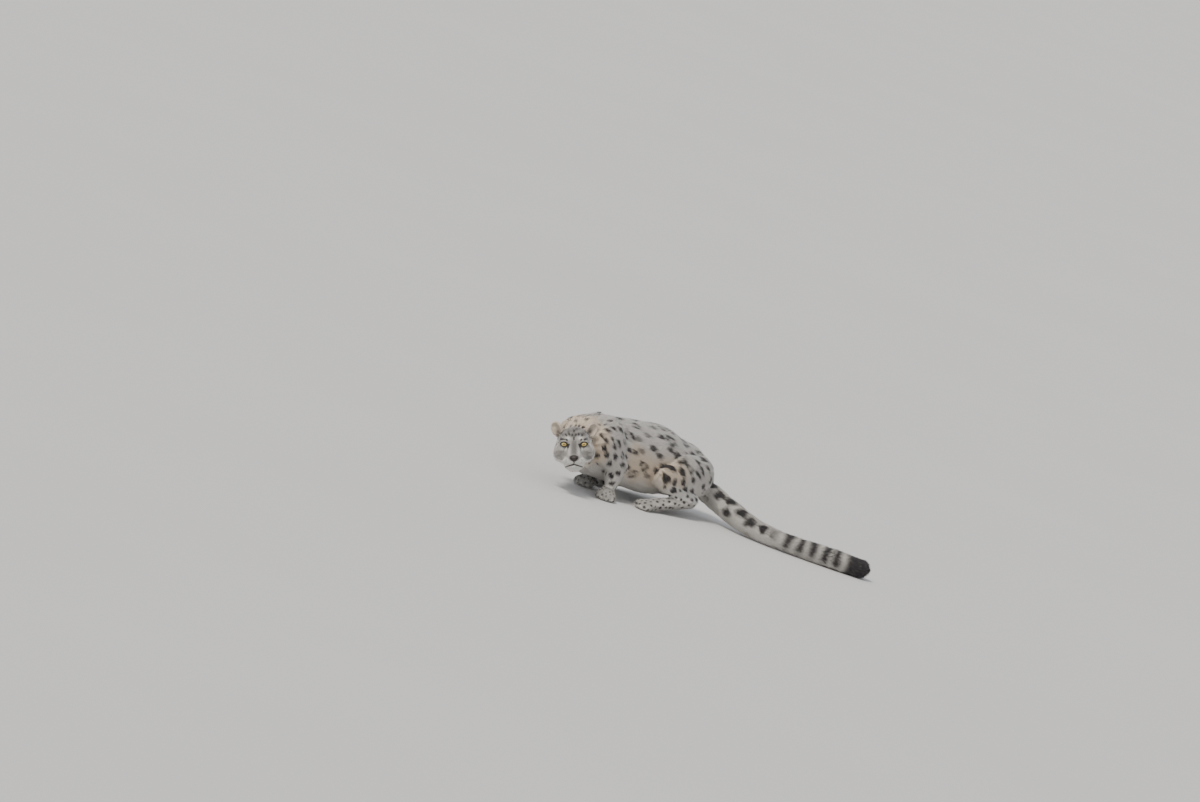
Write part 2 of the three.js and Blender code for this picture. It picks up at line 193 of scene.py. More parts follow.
@dataclass(frozen=True)
class PhotoCamera:
    """The camera of the photograph: a long lens, a little above the animal, with its sideways lean."""

    stance: Stance
    azimuth: float = -40
    elevation: float = 7
    roll: float = 19
    mm_per_pixel: float = 3.95
    distance: float = 30_000
    width: int = 1200
    height: int = 802
    withers_pixel: tuple[float, float] = (612, 416)
    withers_height: float = 311

    def axes(self) -> tuple[np.ndarray, np.ndarray, np.ndarray]:
        """Gives the picture's right and up, and the way back to the camera.

        Returns:
            Three vectors of length one.
        """
        a, e, lean = (math.radians(v) for v in (self.azimuth, self.elevation, self.roll))
        back = np.array([math.sin(a) * math.cos(e), -math.cos(a) * math.cos(e), math.sin(e)])
        level_right = np.array([math.cos(a), math.sin(a), 0])
        level_up = np.cross(back, level_right)
        right = math.cos(lean) * level_right + math.sin(lean) * level_up
        up = -math.sin(lean) * level_right + math.cos(lean) * level_up
        return right, up, back

    def place_of(self, pixel_x: float, pixel_y: float) -> np.ndarray:
        """Finds where a photo pixel lies on the plane through the withers, facing the camera.

        Args:
            pixel_x: Pixels from the photo's left edge.
            pixel_y: Pixels from the photo's top edge.

        Returns:
            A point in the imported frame, in metres.
        """
        right, up, _ = self.axes()
        across = (pixel_x - self.withers_pixel[0]) * self.mm_per_pixel * MM
        down = (pixel_y - self.withers_pixel[1]) * self.mm_per_pixel * MM
        return self.stance.point(0, 0, self.withers_height) + right * across - up * down

    def build(self) -> bpy.types.Object:
        """Makes the camera.

        Returns:
            The camera object, set as the scene's own.
        """
        right, up, back = self.axes()
        aim = self.place_of(self.width / 2, self.height / 2)
        data = bpy.data.cameras.new("camera")
        data.sensor_width = 36
        data.lens = data.sensor_width * self.distance / (self.width * self.mm_per_pixel)
        data.clip_end = 2000
        camera = placed("camera", data)
        turn = Matrix((right, up, back)).transposed().to_4x4()
        camera.matrix_world = Matrix.Translation(aim + back * self.distance * MM) @ turn
        bpy.context.scene.camera = camera
        return camera


class Region(Enum):
    """The stretches of the coat, each with its own hair."""

    HEAD = "head"
    EAR = "ear"
    NECK = "neck"
    TORSO = "torso"
    SHOULDER = "shoulder"
    FOREARM = "forearm"
    FOREPAW = "forepaw"
    THIGH = "thigh"
    SHANK = "shank"
    HINDFOOT = "hindfoot"
    TAIL = "tail"


@dataclass(frozen=True)
class Hair:
    """How the coat grows on one region, in millimetres.

    Args:
        depth: From the skin out to the tips.
        length: Of one tuft.
        width: Of one tuft at its root.
        spacing: Between neighbouring roots.
        lie: Which way the tufts point, in the animal's own axes.
    """

    depth: float
    length: float
    width: float
    spacing: float
    lie: tuple[float, float, float]


COAT_HAIR = {
    Region.HEAD: Hair(3.4, 9, 2.1, 1.6, (1, 0, 0)),
    Region.EAR: Hair(1.2, 8, 1.7, 1.6, (0.5, 0.2, 0.8)),
    Region.NECK: Hair(13, 28, 3.6, 2.25, (0.93, 0.37, -0.3)),
    Region.TORSO: Hair(15, 30, 3.7, 2.35, (1, 0, -0.3)),
    Region.SHOULDER: Hair(11, 23, 3.3, 2.1, (0.7, 0, -0.7)),
    Region.FOREARM: Hair(7, 16, 2.7, 1.9, (-0.2, 0, -0.95)),
    Region.FOREPAW: Hair(1.7, 8, 2.1, 1.5, (-0.65, -0.7, -0.1)),
    Region.THIGH: Hair(12, 25, 3.4, 2.2, (0.75, 0, -0.65)),
    Region.SHANK: Hair(7, 16, 2.7, 1.9, (0.9, 0, -0.4)),
    Region.HINDFOOT: Hair(2.2, 8, 2.0, 1.6, (-1, 0, -0.1)),
    Region.TAIL: Hair(15, 30, 3.6, 2.2, (1, 0, 0)),
}
SHORT_HAIRED = (Region.HEAD, Region.EAR, Region.FOREPAW, Region.HINDFOOT)
REGIONS = list(Region)
# On the head each measure grows from the nose back: its least, its gain and the power of the gain.
HEAD_HAIR = {
    "depth": (1.6, 8.5, 1.3),
    "length": (5.5, 17, 1.2),
    "width": (2.0, 1.8, 1),
    "spacing": (1.6, 0.8, 1),
}


@dataclass(frozen=True)
class TailRoute:
    """The tail's middle line over the ground, from the rump to its tip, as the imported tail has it."""

    stance: Stance
    stops: tuple[tuple[float, float, float], ...] = (
        (525, 0, 126),
        (574, -40, 104),
        (606, -132, 76),
        (638, -258, 50),
        (694, -376, 41),
        (778, -468, 40),
        (868, -546, 40),
        (953, -614, 39),
    )

    def sampled(self, count: int = 160) -> tuple[np.ndarray, np.ndarray]:
        """Samples the line evenly.

        Args:
            count: How many samples.

        Returns:
            The points in metres and the headings.
        """
        stops = np.array([self.stance.point(*stop) for stop in self.stops])
        legs = np.concatenate([[0], np.cumsum(np.linalg.norm(np.diff(stops, axis=0), axis=1))])
        along = np.linspace(0, legs[-1], count)
        points = np.stack([np.interp(along, legs, stops[:, i]) for i in range(3)], axis=1)
        for _ in range(12):
            points[1:-1] = (points[:-2] + points[1:-1] * 2 + points[2:]) / 4
        return points, unit(np.gradient(points, axis=0))

    def follow(self, places: np.ndarray) -> tuple[np.ndarray, np.ndarray]:
        """Finds the nearest stretch of the line to each place.

        Args:
            places: Points in metres.

        Returns:
            The share of the tail's length from 0 to 1, and the line's heading there.
        """
        points, headings = self.sampled()
        gaps = ((places[:, None, :] - points[None]) ** 2).sum(-1)
        nearest = gaps.argmin(1)
        return nearest / (len(points) - 1), headings[nearest]


@dataclass(frozen=True)
class SoftPatch:
    """A soft-edged patch on both sides of the face, in the head's own millimetres."""

    side: float
    up: float
    across: float
    high: float
    edge: int = 2

    def share(self, head: np.ndarray) -> np.ndarray:
        """Says how far the patch covers points in head coordinates, from 0 to 1."""
        beside = (np.abs(head[:, 0]) - self.side) / self.across
        above = (head[:, 2] - self.up) / self.high
        return np.exp(-(beside**self.edge) - above**self.edge)


ABOVE_EYE = SoftPatch(24, 34, 10, 6)
BELOW_EYE = SoftPatch(42, -10, 20, 9)
BESIDE_NOSE = SoftPatch(19, -22, 5, 22)
MUZZLE_PAD = SoftPatch(17, -61, 10, 8, 4)
BRIDGE = SoftPatch(0, -4, 14, 40, 4)
EAR_BASE = SoftPatch(62, 58, 12, 13)
NOSE_TIP = (0, 128, -44)
NOSE_MIDDLE = (0, 112, -45)
NOSE_BARE = (18.6, 14.5, 10.6)
NOSE_RIM = (19, 16, 11.5)


@dataclass
class Mark:
    """One dark mark of the coat, as an oval on the surface.

    Args:
        middle: Its place in metres.
        normal: The surface's normal there.
        along: The way of its long side.
        long: Half its length in metres.
        wide: Half its width in metres.
        hollow: Whether it is a rosette, open in the middle.
        strength: How dark it is, up to 1.
    """

    middle: np.ndarray
    normal: np.ndarray
    along: np.ndarray
    long: float
    wide: float
    hollow: bool
    strength: float


def mesh_of(name: str, points: np.ndarray, triangles: np.ndarray) -> bpy.types.Mesh:
    """Makes a smooth-shaded mesh of triangles.

    Args:
        name: The mesh's name.
        points: Its points in metres.
        triangles: Three point numbers in each row.

    Returns:
        The mesh.
    """
    mesh = bpy.data.meshes.new(name)
    mesh.vertices.add(len(points))
    mesh.vertices.foreach_set("co", points.ravel())
    mesh.loops.add(len(triangles) * 3)
    mesh.loops.foreach_set("vertex_index", triangles.ravel().astype(np.int32))
    mesh.polygons.add(len(triangles))
    mesh.polygons.foreach_set("loop_start", np.arange(len(triangles), dtype=np.int32) * 3)
    mesh.polygons.foreach_set("use_smooth", np.ones(len(triangles), bool))
    mesh.update(calc_edges=True)
    return mesh


def placed(name: str, data: bpy.types.ID) -> bpy.types.Object:
    """Adds an object with this data to the scene."""
    made = bpy.data.objects.new(name, data)
    bpy.context.scene.collection.objects.link(made)
    return made


def pick(piece: bpy.types.Object) -> None:
    """Selects one piece alone and makes it the active one."""
    bpy.ops.object.select_all(action="DESELECT")
    piece.select_set(True)
    bpy.context.view_layer.objects.active = piece


def modify(piece: bpy.types.Object, kind: str, **settings: object) -> None:
    """Adds one modifier to a piece and applies it.

    Args:
        piece: The piece.
        kind: The modifier's type.
        settings: Its settings.
    """
    modifier = piece.modifiers.new(kind.lower(), kind)
    for name, value in settings.items():
        setattr(modifier, name, value)
    bpy.context.view_layer.objects.active = piece
    bpy.ops.object.modifier_apply(modifier=modifier.name)


def search_tree(places: np.ndarray) -> KDTree:
    """Makes a tree that finds the nearest of some points."""
    tree = KDTree(len(places))
    for i, place in enumerate(places):
        tree.insert(place, i)
    tree.balance()
    return tree


def within(regions: np.ndarray, *members: Region) -> np.ndarray:
    """Says which rows belong to any of some regions of the coat."""
    return np.isin(regions, [REGIONS.index(region) for region in members])


@dataclass
class Lids:
    """The lids of one eye: a band from the almond-shaped opening out to the skin around it."""

    stance: Stance
    side: int
    eyeball: float = 16.2
    half_width: float = 11.8
    upper: float = 5.7
    lower: float = 6.3
    slant: float = 0.16
    steps: int = 72
    rings: int = 12
    outer: float = 76
    hidden: float = 13.0
    corner_tuck: float = 1.6
    corner_drop: float = 1.2
    roundness: float = 0.85
    rim_gap: float = 0.7
    rim_thickness: float = 1.5
    overlap: float = 1.0
    least_rise: float = 1.6
    missed_rise: float = 3
    most_reach: float = 34.0
    outside: float = 60
    near: float = 32

    def eye(self) -> np.ndarray:
        """Gives the eyeball's middle in head coordinates."""
        return np.array([self.stance.eye_side * self.side, self.stance.eye_forward, self.stance.eye_up])

    def opening(self) -> tuple[np.ndarray, np.ndarray]:
        """Gives the edge of the opening.

        Returns:
            The turn round the eye of each point of the edge, from its outer corner, and how far it is
            turned away from straight ahead, both in radians.
        """
        a = np.linspace(-math.pi, math.pi, self.steps, endpoint=False)
        inner = np.clip(-np.cos(a), 0, 1)
        outward = np.cos(a) * self.half_width - self.corner_tuck * inner**6
        rise = np.where(a > 0, self.upper, self.lower) * np.sign(a) * np.abs(np.sin(a)) ** self.roundness
        rise = rise + self.slant * outward - self.corner_drop * inner**4
        return np.arctan2(rise, outward), np.arcsin(np.hypot(outward, rise) / self.eyeball)

    def share(self, head: np.ndarray) -> np.ndarray:
        """Says how far points lie from the opening, 0, to the band's outer edge, 1.

        Args:
            head: Points in head coordinates.

        Returns:
            One share for each, and FAR for those far from the eye.
        """
        arm = head - self.eye()
        turn = np.arctan2(arm[:, 2], arm[:, 0] * self.side)
        away = np.arctan2(np.hypot(arm[:, 0], arm[:, 2]), arm[:, 1])
        turns, edges = self.opening()
        edge = np.interp(turn, turns, edges, period=2 * math.pi)
        shares = (away - edge) / (math.radians(self.outer) - edge)
        return np.where(np.linalg.norm(arm, axis=1) < self.near, shares, FAR)

    def build(self, tree: BVHTree) -> tuple[np.ndarray, np.ndarray, np.ndarray, np.ndarray]:
        """Makes the band.

        Args:
            tree: The skin's search tree.

        Returns:
            Its points in metres, its triangles, each point's share, and the way out from the opening.
        """
        axes = self.stance.head_axes()
        middle = self.stance.head_point(*self.eye())
        turns, edges = self.opening()
        end = math.radians(self.outer)
        points, shares, outward = [], [], []
        for turn, edge in zip(turns, edges):
            flat = axes[0] * math.cos(turn) * self.side + axes[2] * math.sin(turn)
            ray = flat * math.sin(end) + axes[1] * math.cos(end)
            hit = tree.ray_cast(middle + ray * self.outside * MM, -ray)[0]
            skin = np.linalg.norm(np.array(hit) - middle) / MM if hit else self.eyeball + self.missed_rise
            skin = min(max(skin, self.eyeball + self.least_rise), self.most_reach) - self.overlap
            for ring in range(self.rings + 1):
                share = ring / self.rings
                tilt = edge + (end - edge) * share
                margin = self.rim_gap + self.rim_thickness * min(share / 0.1, 1.0)
                blend = share**1.5
                reach = (self.eyeball + margin) * (1 - blend) + skin * blend + self.relief(share, turn > 0)
                points.append(middle + (flat * math.sin(tilt) + axes[1] * math.cos(tilt)) * reach * MM)
                shares.append(share)
                outward.append(flat * math.cos(tilt) - axes[1] * math.sin(tilt))
        row = self.rings + 1
        triangles = []
        for i in range(self.steps):
            j = (i + 1) % self.steps
            for ring in range(self.rings):
                a, b, c, d = i * row + ring, j * row + ring, j * row + ring + 1, i * row + ring + 1
                triangles += ((a, d, c), (a, c, b)) if self.side == LEFT else ((a, c, d), (a, b, c))
        return np.array(points), np.array(triangles), np.array(shares), np.array(outward)

    def relief(self, share: float, above: bool) -> float:
        """Gives the lid's rounded edge and the crease behind it, deepest in the upper lid.

        Args:
            share: How far across the band.
            above: Whether it is the upper lid.

        Returns:
            How far the band stands out there, in millimetres.
        """
        edge = (1.3 if above else 0.8) * math.exp(-(((share - 0.24) / 0.14) ** 2))
        crease = (0.9 if above else 0.5) * math.exp(-(((share - 0.5) / 0.08) ** 2))
        return edge - crease


@dataclass
class Skin:
    """The one skin under the coat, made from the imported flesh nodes."""

    frame: dict
    stance: Stance
    tail: TailRoute
    inflate: float = 1.0
    voxel: float = 2.5
    faces: int = 185_000
    piece: bpy.types.Object = field(init=False)
    points: np.ndarray = field(init=False)
    normals: np.ndarray = field(init=False)
    triangles: np.ndarray = field(init=False)
    regions: np.ndarray = field(init=False)
    lies: np.ndarray = field(init=False)
    hair: dict[str, np.ndarray] = field(init=False)
    lids: list[Lids] = field(init=False)
    head_reach: float = 128
    sole: float = 12
    lip_depth: float = 3.0
    least_height: float = 0.8

    def __post_init__(self) -> None:
        """Plans the lids of both eyes."""
        self.lids = [Lids(self.stance, LEFT), Lids(self.stance, RIGHT)]

    def flesh(self) -> list[str]:
        """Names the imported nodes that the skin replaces."""
        return [n for n in sorted(self.frame["nodes"]) if not n.startswith(("eye", "nose"))]

    def region_of(self, node: str) -> Region:
        """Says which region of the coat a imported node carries."""
        return next(region for region in Region if node.startswith(region.value))

    def build(self) -> bpy.types.Object:
        """Makes the skin and its fields of hair.

        Returns:
            The skin object.
        """
        self.piece = self.joined_flesh()
        self.remesh()
        self.read()
        self.find_regions()
        self.find_lies()
        self.sink()
        self.add_lids()
        self.piece.data = mesh_of("skin", self.points, self.triangles)
        normals = np.empty(len(self.points) * 3)
        self.piece.data.vertices.foreach_get("normal", normals)
        self.normals = normals.reshape(-1, 3)
        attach(self.piece, "root")
        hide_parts(*self.flesh())
        return self.piece

    def joined_flesh(self) -> bpy.types.Object:
        """Copies the flesh nodes, each grown a little so that the gaps close, into one object.

        Returns:
            The object.
        """
        copies = [placed("skin", self.frame["nodes"][name].data.copy()) for name in self.flesh()]
        bpy.ops.object.select_all(action="DESELECT")
        for copy in copies:
            copy.select_set(True)
            bpy.context.view_layer.objects.active = copy
        bpy.ops.object.mode_set(mode="EDIT")
        bpy.ops.mesh.select_all(action="SELECT")
        bpy.ops.mesh.remove_doubles(threshold=1e-5)
        bpy.ops.mesh.normals_make_consistent(inside=False)
        bpy.ops.mesh.select_all(action="DESELECT")
        bpy.ops.object.mode_set(mode="OBJECT")
        for copy in copies:
            places = np.empty(len(copy.data.vertices) * 3)
            normals = np.empty_like(places)
            copy.data.vertices.foreach_get("co", places)
            copy.data.vertices.foreach_get("normal", normals)
            copy.data.vertices.foreach_set("co", places + normals * self.inflate * MM)
        bpy.ops.object.join()
        joined = bpy.context.view_layer.objects.active
        joined.data.materials.clear()
        return joined

    def remesh(self) -> None:
        """Turns the joined flesh into one even skin without facets, finest on the head."""
        modify(self.piece, "REMESH", mode="VOXEL", voxel_size=self.voxel * MM)
        mesh = self.piece.data
        places = np.empty(len(mesh.vertices) * 3)
        mesh.vertices.foreach_get("co", places)
        places = places.reshape(-1, 3)
        on_head = np.linalg.norm(self.stance.in_head(places), axis=1) < self.head_reach
        on_sole = places[:, 2] < self.sole * MM
        body = self.piece.vertex_groups.new(name="body")
        coarse = self.piece.vertex_groups.new(name="coarse")
        body.add(np.nonzero(~on_head & ~on_sole)[0].tolist(), 1.0, "REPLACE")
        coarse.add(np.nonzero(~on_head)[0].tolist(), 1.0, "REPLACE")
        modify(self.piece, "SMOOTH", factor=0.6, iterations=26, vertex_group="body")
        modify(self.piece, "SMOOTH", factor=0.5, iterations=3)
        share = self.faces / (2 * len(mesh.polygons))
        modify(self.piece, "TRIANGULATE")
        modify(self.piece, "DECIMATE", ratio=min(1.0, share), vertex_group="coarse")
        modify(self.piece, "TRIANGULATE")
        self.piece.vertex_groups.clear()

    def read(self) -> None:
        """Reads the skin's points, normals and triangles."""
        mesh = self.piece.data
        self.points = np.empty(len(mesh.vertices) * 3)
        self.normals = np.empty(len(mesh.vertices) * 3)
        self.triangles = np.empty(len(mesh.polygons) * 3, int)
        mesh.vertices.foreach_get("co", self.points)
        mesh.vertices.foreach_get("normal", self.normals)
        mesh.polygons.foreach_get("vertices", self.triangles)
        self.points = self.points.reshape(-1, 3)
        self.normals = self.normals.reshape(-1, 3)
        self.triangles = self.triangles.reshape(-1, 3)

    def evened(self, values: np.ndarray, rounds: int) -> np.ndarray:
        """Averages a field with its neighbours over the skin.

        Args:
            values: One value or vector for each point.
            rounds: How many times.

        Returns:
            The evened field.
        """
        flat = values.reshape(len(values), -1).astype(float)
        a = self.triangles.ravel()
        b = np.roll(self.triangles, -1, axis=1).ravel()
        ends = np.concatenate([a, b])
        others = np.concatenate([b, a])
        count = np.bincount(ends, minlength=len(flat))[:, None]
        for _ in range(rounds):
            sums = [np.bincount(ends, flat[others, i], len(flat)) for i in range(flat.shape[1])]
            flat = (flat + np.stack(sums, axis=1)) / (1 + count)
        return flat.reshape(values.shape)

    def find_regions(self) -> None:
        """Finds each point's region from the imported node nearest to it."""
        draw = np.random.default_rng(11)
        samples, owners = [], []
        for node in self.flesh():
            mesh = self.frame["nodes"][node].data
            mesh.calc_loop_triangles()
            corners = np.empty(len(mesh.loop_triangles) * 3, int)
            mesh.loop_triangles.foreach_get("vertices", corners)
            places = np.empty(len(mesh.vertices) * 3)
            mesh.vertices.foreach_get("co", places)
            found = scatter(places.reshape(-1, 3), corners.reshape(-1, 3), 7 * MM, draw)[0]
            samples.append(found)
            owners += [REGIONS.index(self.region_of(node))] * len(found)
        tree = search_tree(np.concatenate(samples))
        self.regions = np.array([owners[tree.find(place)[1]] for place in self.points])

    def per_region(self, name: str) -> np.ndarray:
        """Spreads one hair measure over the skin, evened across the regions' borders."""
        table = np.array([getattr(COAT_HAIR[region], name) for region in REGIONS])
        return self.evened(table[self.regions], 14)

    def find_lies(self) -> None:
        """Works out the lie, length and depth of the coat at each point."""
        table = np.array([COAT_HAIR[region].lie for region in REGIONS])
        lies = unit(table[self.regions])
        on_tail = within(self.regions, Region.TAIL)
        lies[on_tail] = self.tail.follow(self.points[on_tail])[1]
        on_head = within(self.regions, Region.HEAD)
        nose_tip = self.stance.head_point(*NOSE_TIP)
        lies[on_head] = unit(self.points[on_head] - nose_tip)
        lies = self.evened(lies, 10)
        lies -= self.normals * (lies * self.normals).sum(1, keepdims=True)
        self.lies = unit(lies)
        self.hair = {name: self.per_region(name) for name in HEAD_HAIR}
        from_nose = np.linalg.norm(self.points - nose_tip, axis=1) / MM
        back = smooth_step(70, 165, from_nose)[on_head]
        for name, (least, gain, power) in HEAD_HAIR.items():
            self.hair[name][on_head] = least + gain * back**power
            self.hair[name] = self.evened(self.hair[name], 4)
        head = self.stance.in_head(self.points)
        for lids in self.lids:
            near = 1 - smooth_step(18, 34, np.linalg.norm(head - lids.eye(), axis=1))
            self.hair["depth"] *= 1 - 0.7 * near
            self.hair["length"] *= 1 - 0.4 * near

    def sink(self) -> None:
        """Draws the skin in by the coat's depth, and presses in the line of the mouth."""
        inward = unit(self.evened(self.normals, 6))
        depth = (self.hair["depth"] + self.inflate) * MM
        self.points = self.points - inward * depth[:, None]
        head = self.stance.in_head(self.points)
        pressed = (1 - smooth_step(1.5, 5.0, MOUTH.off_line(head))) * (head[:, 1] > 60)
        self.points -= self.stance.head_axes()[1] * (pressed * self.lip_depth * MM)[:, None]
        self.points[:, 2] = np.maximum(self.points[:, 2], self.least_height * MM)
        for lids in self.lids:
            arm = head - lids.eye()
            away = np.linalg.norm(arm, axis=1)
            under = (lids.share(head) < 0.9) & (away < 25) & (away > lids.hidden)
            tucked = arm * (1 - lids.hidden / away)[:, None] * MM
            self.points[under] -= tucked[under] @ self.stance.head_axes()

    def add_lids(self) -> None:
        """Adds the lids to the skin, with their own short hair."""
        tree = self.tree()
        for lids in self.lids:
            points, triangles, shares, outward = lids.build(tree)
            self.triangles = np.concatenate([self.triangles, triangles + len(self.points)])
            self.points = np.concatenate([self.points, points])
            self.regions = np.concatenate([self.regions, np.full(len(points), REGIONS.index(Region.HEAD))])
            self.lies = np.concatenate([self.lies, outward])
            measures = {
                "depth": 0.5 + 0.7 * shares,
                "length": 3.0 + 3.0 * shares,
                "width": 1.1 + 0.6 * shares,
                "spacing": 1.05 + 0.35 * shares,
            }
            for name, values in measures.items():
                self.hair[name] = np.concatenate([self.hair[name], values])

    def tree(self) -> BVHTree:
        """Makes a search tree of the skin."""
        return BVHTree.FromPolygons(self.points.tolist(), self.triangles.tolist())


def scatter(
    points: np.ndarray,
    triangles: np.ndarray,
    spacing: float | np.ndarray,
    draw: np.random.Generator,
) -> tuple[np.ndarray, np.ndarray, np.ndarray]:
    """Strews places evenly over a mesh.

    Args:
        points: The mesh's points in metres.
        triangles: Its triangles.
        spacing: The distance between neighbours, for the mesh or for each triangle.
        draw: The source of random numbers.

    Returns:
        The places, the triangle of each, and its three shares in that triangle's corners.
    """
    a, b, c = (points[triangles[:, i]] for i in range(3))
    areas = np.linalg.norm(np.cross(b - a, c - a), axis=1) / 2
    wanted = np.cumsum(areas / np.square(spacing))
    count = int(wanted[-1])
    picks = (np.arange(count) + draw.uniform(0, 1, count)) * wanted[-1] / count
    faces = np.minimum(np.searchsorted(wanted, picks), len(triangles) - 1)
    root = np.sqrt(draw.uniform(0, 1, count))
    other = draw.uniform(0, 1, count)
    shares = np.stack([1 - root, root * (1 - other), root * other], axis=1)
    places = (points[triangles[faces]] * shares[:, :, None]).sum(1)
    return places, faces, shares


@dataclass(frozen=True)
class Mouth:
    """The line where the lips meet, in the head's own millimetres."""

    half_width: float = 32
    up: float = -70
    fall: float = 9
    nose_bottom: float = -54

    def height(self, side: np.ndarray) -> np.ndarray:
        """Gives the line's height at each distance to the side."""
        return self.up - self.fall * np.minimum(np.abs(side) / self.half_width, 1.2) ** 1.3

    def off_line(self, head: np.ndarray) -> np.ndarray:
        """Measures how far points of the head are from the mouth or the parting above it.

        Args:
            head: Points in the head's own millimetres.

        Returns:
            Distances in millimetres, seen from the front.
        """
        beyond = np.maximum(np.abs(head[:, 0]) - self.half_width, 0)
        lips = np.hypot(head[:, 2] - self.height(head[:, 0]), beyond)
        middle = (self.up + self.nose_bottom) / 2
        half = (self.nose_bottom - self.up) / 2
        parting = np.hypot(head[:, 0], np.maximum(np.abs(head[:, 2] - middle) - half, 0))
        return np.minimum(lips, parting + 0.8)


MOUTH = Mouth()


@dataclass(frozen=True)
class SeenMark:
    """A mark that the photograph shows, by its pixel there and its size in millimetres."""

    pixel: tuple[float, float]
    long: float
    wide: float
    hollow: bool = False
    strength: float = 1.0
    lean: float = 0.0


def spots(long: float, wide: float, *pixels: tuple[float, float], strength: float = 1.0) -> list[SeenMark]:
    """Lists solid spots of one size."""
    return [SeenMark(pixel, long, wide, strength=strength) for pixel in pixels]


SHOULDER_MARKS = [
    SeenMark((627, 437), 31, 17, hollow=True),
    SeenMark((615.5, 445), 22, 16, hollow=True, lean=80),
    *spots(14, 10, (605, 441), (603.5, 448), (628, 450), (634, 452.5), (609, 462), (597, 454)),
    *spots(14, 11, (606, 454), (614, 456), (623.5, 457), (626, 466), (607, 432), (619, 431)),
    *spots(10, 8, (601, 436), (611, 440), (598, 461), (603, 469), (617, 472), (611, 474)),
    *spots(12, 8, (600, 478), (606, 477), (612, 476), (618, 473), (604, 483)),
]
FLANK_MARKS = [
    SeenMark((670, 443), 28, 20, hollow=True, strength=0.9),
    SeenMark((684, 442), 26, 19, hollow=True, strength=0.9),
    SeenMark((680, 460), 30, 24, hollow=True),
    SeenMark((699, 473), 24, 20, hollow=True),
    *spots(19, 12, (660, 439), (652, 449), (658, 456), (669, 451), (690, 447), strength=0.95),
    *spots(21, 15, (692, 457), (663, 467), (671, 470), (666, 479), (681, 473), (703, 462)),
    *spots(17, 12, (656, 471), (673, 482), (682, 482), (673, 490), (684, 489), (709, 481)),
    *spots(14, 10, (691, 490), (702, 486), (692, 480), (707, 470), (697, 464)),
    *spots(19, 11, (646, 474), (640, 451), (646, 437), (652, 430), (637, 440), strength=0.65),
]
FOOT_MARKS = [
    *spots(7, 5, (645, 503), (651, 505.5), (657, 502), (663, 505), (669, 502), (675, 504)),
    *spots(8, 6, (681, 500), (687, 497), (676, 497.5), (692, 493), (684, 503), (660, 508), (670, 508)),
]
TAIL_MARKS = [
    *spots(27, 17, (713, 487), (721.5, 498), (732, 505), (743, 516), (752, 524.5)),
    *spots(22, 15, (729, 514), (736, 527), (750, 534), (764.5, 531), (776, 537)),
]


@dataclass(frozen=True)
class FaceMark:
    """A mark of the face, placed from the front in the head's own millimetres, on both sides."""

    side: float
    up: float
    long: float
    wide: float
    lean: float
    strength: float = 1.0


FACE_MARKS = [
    FaceMark(0, 33, 10.3, 4.5, 90, 0.9),
    FaceMark(46, 30, 9.2, 4.5, 10),
    FaceMark(28, 27, 5.8, 4.2, 65),
    FaceMark(7, 47, 8, 4.2, 85),
    FaceMark(18, 48, 8, 4.8, 75),
    FaceMark(31, 45, 9.2, 5, 60),
    FaceMark(44, 42, 10.3, 5.6, 45),
    FaceMark(57, 34, 11.5, 5.9, 50),
    FaceMark(64, 20, 10.8, 4.9, 65),
    FaceMark(0, 61, 8, 4.8, 90),
    FaceMark(12, 62, 8, 5, 80),
    FaceMark(25, 59, 9.2, 5.6, 65),
    FaceMark(38, 56, 10.3, 6.2, 50),
    FaceMark(50, 51, 10.3, 6.2, 45),
    FaceMark(7, 74, 8, 5.6, 85),
    FaceMark(20, 73, 9.2, 5.6, 70),
    FaceMark(34, 69, 10.3, 6.2, 55),
    FaceMark(25.5, -4, 6, 2.2, 62),
    FaceMark(24, -13, 7, 2.4, 85, 0.75),
    FaceMark(21.5, -26, 6, 2, 85, 0.5),
    FaceMark(55, 15, 9.6, 4.1, 25),
    FaceMark(64, 4, 9.6, 4.1, 35, 0.85),
    FaceMark(70, -9, 9.6, 4.3, 50, 0.75),
    FaceMark(73, -25, 10.8, 4.6, 75, 0.8),
    FaceMark(66, -42, 10.8, 4.6, 60, 0.75),
    FaceMark(51, -21, 6.6, 5.1, 40, 0.5),
    FaceMark(30, -50, 3.6, 1.4, 5, 0.75),
    FaceMark(31, -56, 3.6, 1.4, 5, 0.7),
    FaceMark(30, -62, 3.6, 1.4, 5, 0.65),
    FaceMark(37, -76, 6, 3, 60, 0.85),
]


@dataclass(frozen=True)
class RandomMarks:
    """How the marks that the photograph hides are strewn over one region, in millimetres."""

    spacing: float
    long: float
    wide: float
    hollow_share: float
    strength: float


HIDDEN_MARKS = {
    Region.NECK: RandomMarks(34, 14, 10, 0.2, 0.9),
    Region.TORSO: RandomMarks(46, 25, 17, 0.6, 0.95),
    Region.SHOULDER: RandomMarks(34, 15, 11, 0.3, 1.0),
    Region.FOREARM: RandomMarks(24, 10, 7, 0.0, 0.95),
    Region.FOREPAW: RandomMarks(19, 4.5, 3.5, 0.0, 0.75),
    Region.THIGH: RandomMarks(37, 19, 13, 0.4, 1.0),
    Region.SHANK: RandomMarks(23, 10, 7, 0.0, 1.0),
    Region.HINDFOOT: RandomMarks(17, 6, 4.5, 0.0, 0.9),
    Region.TAIL: RandomMarks(48, 21, 14, 0.4, 0.95),
    Region.HEAD: RandomMarks(15, 6, 4, 0.0, 0.85),
}


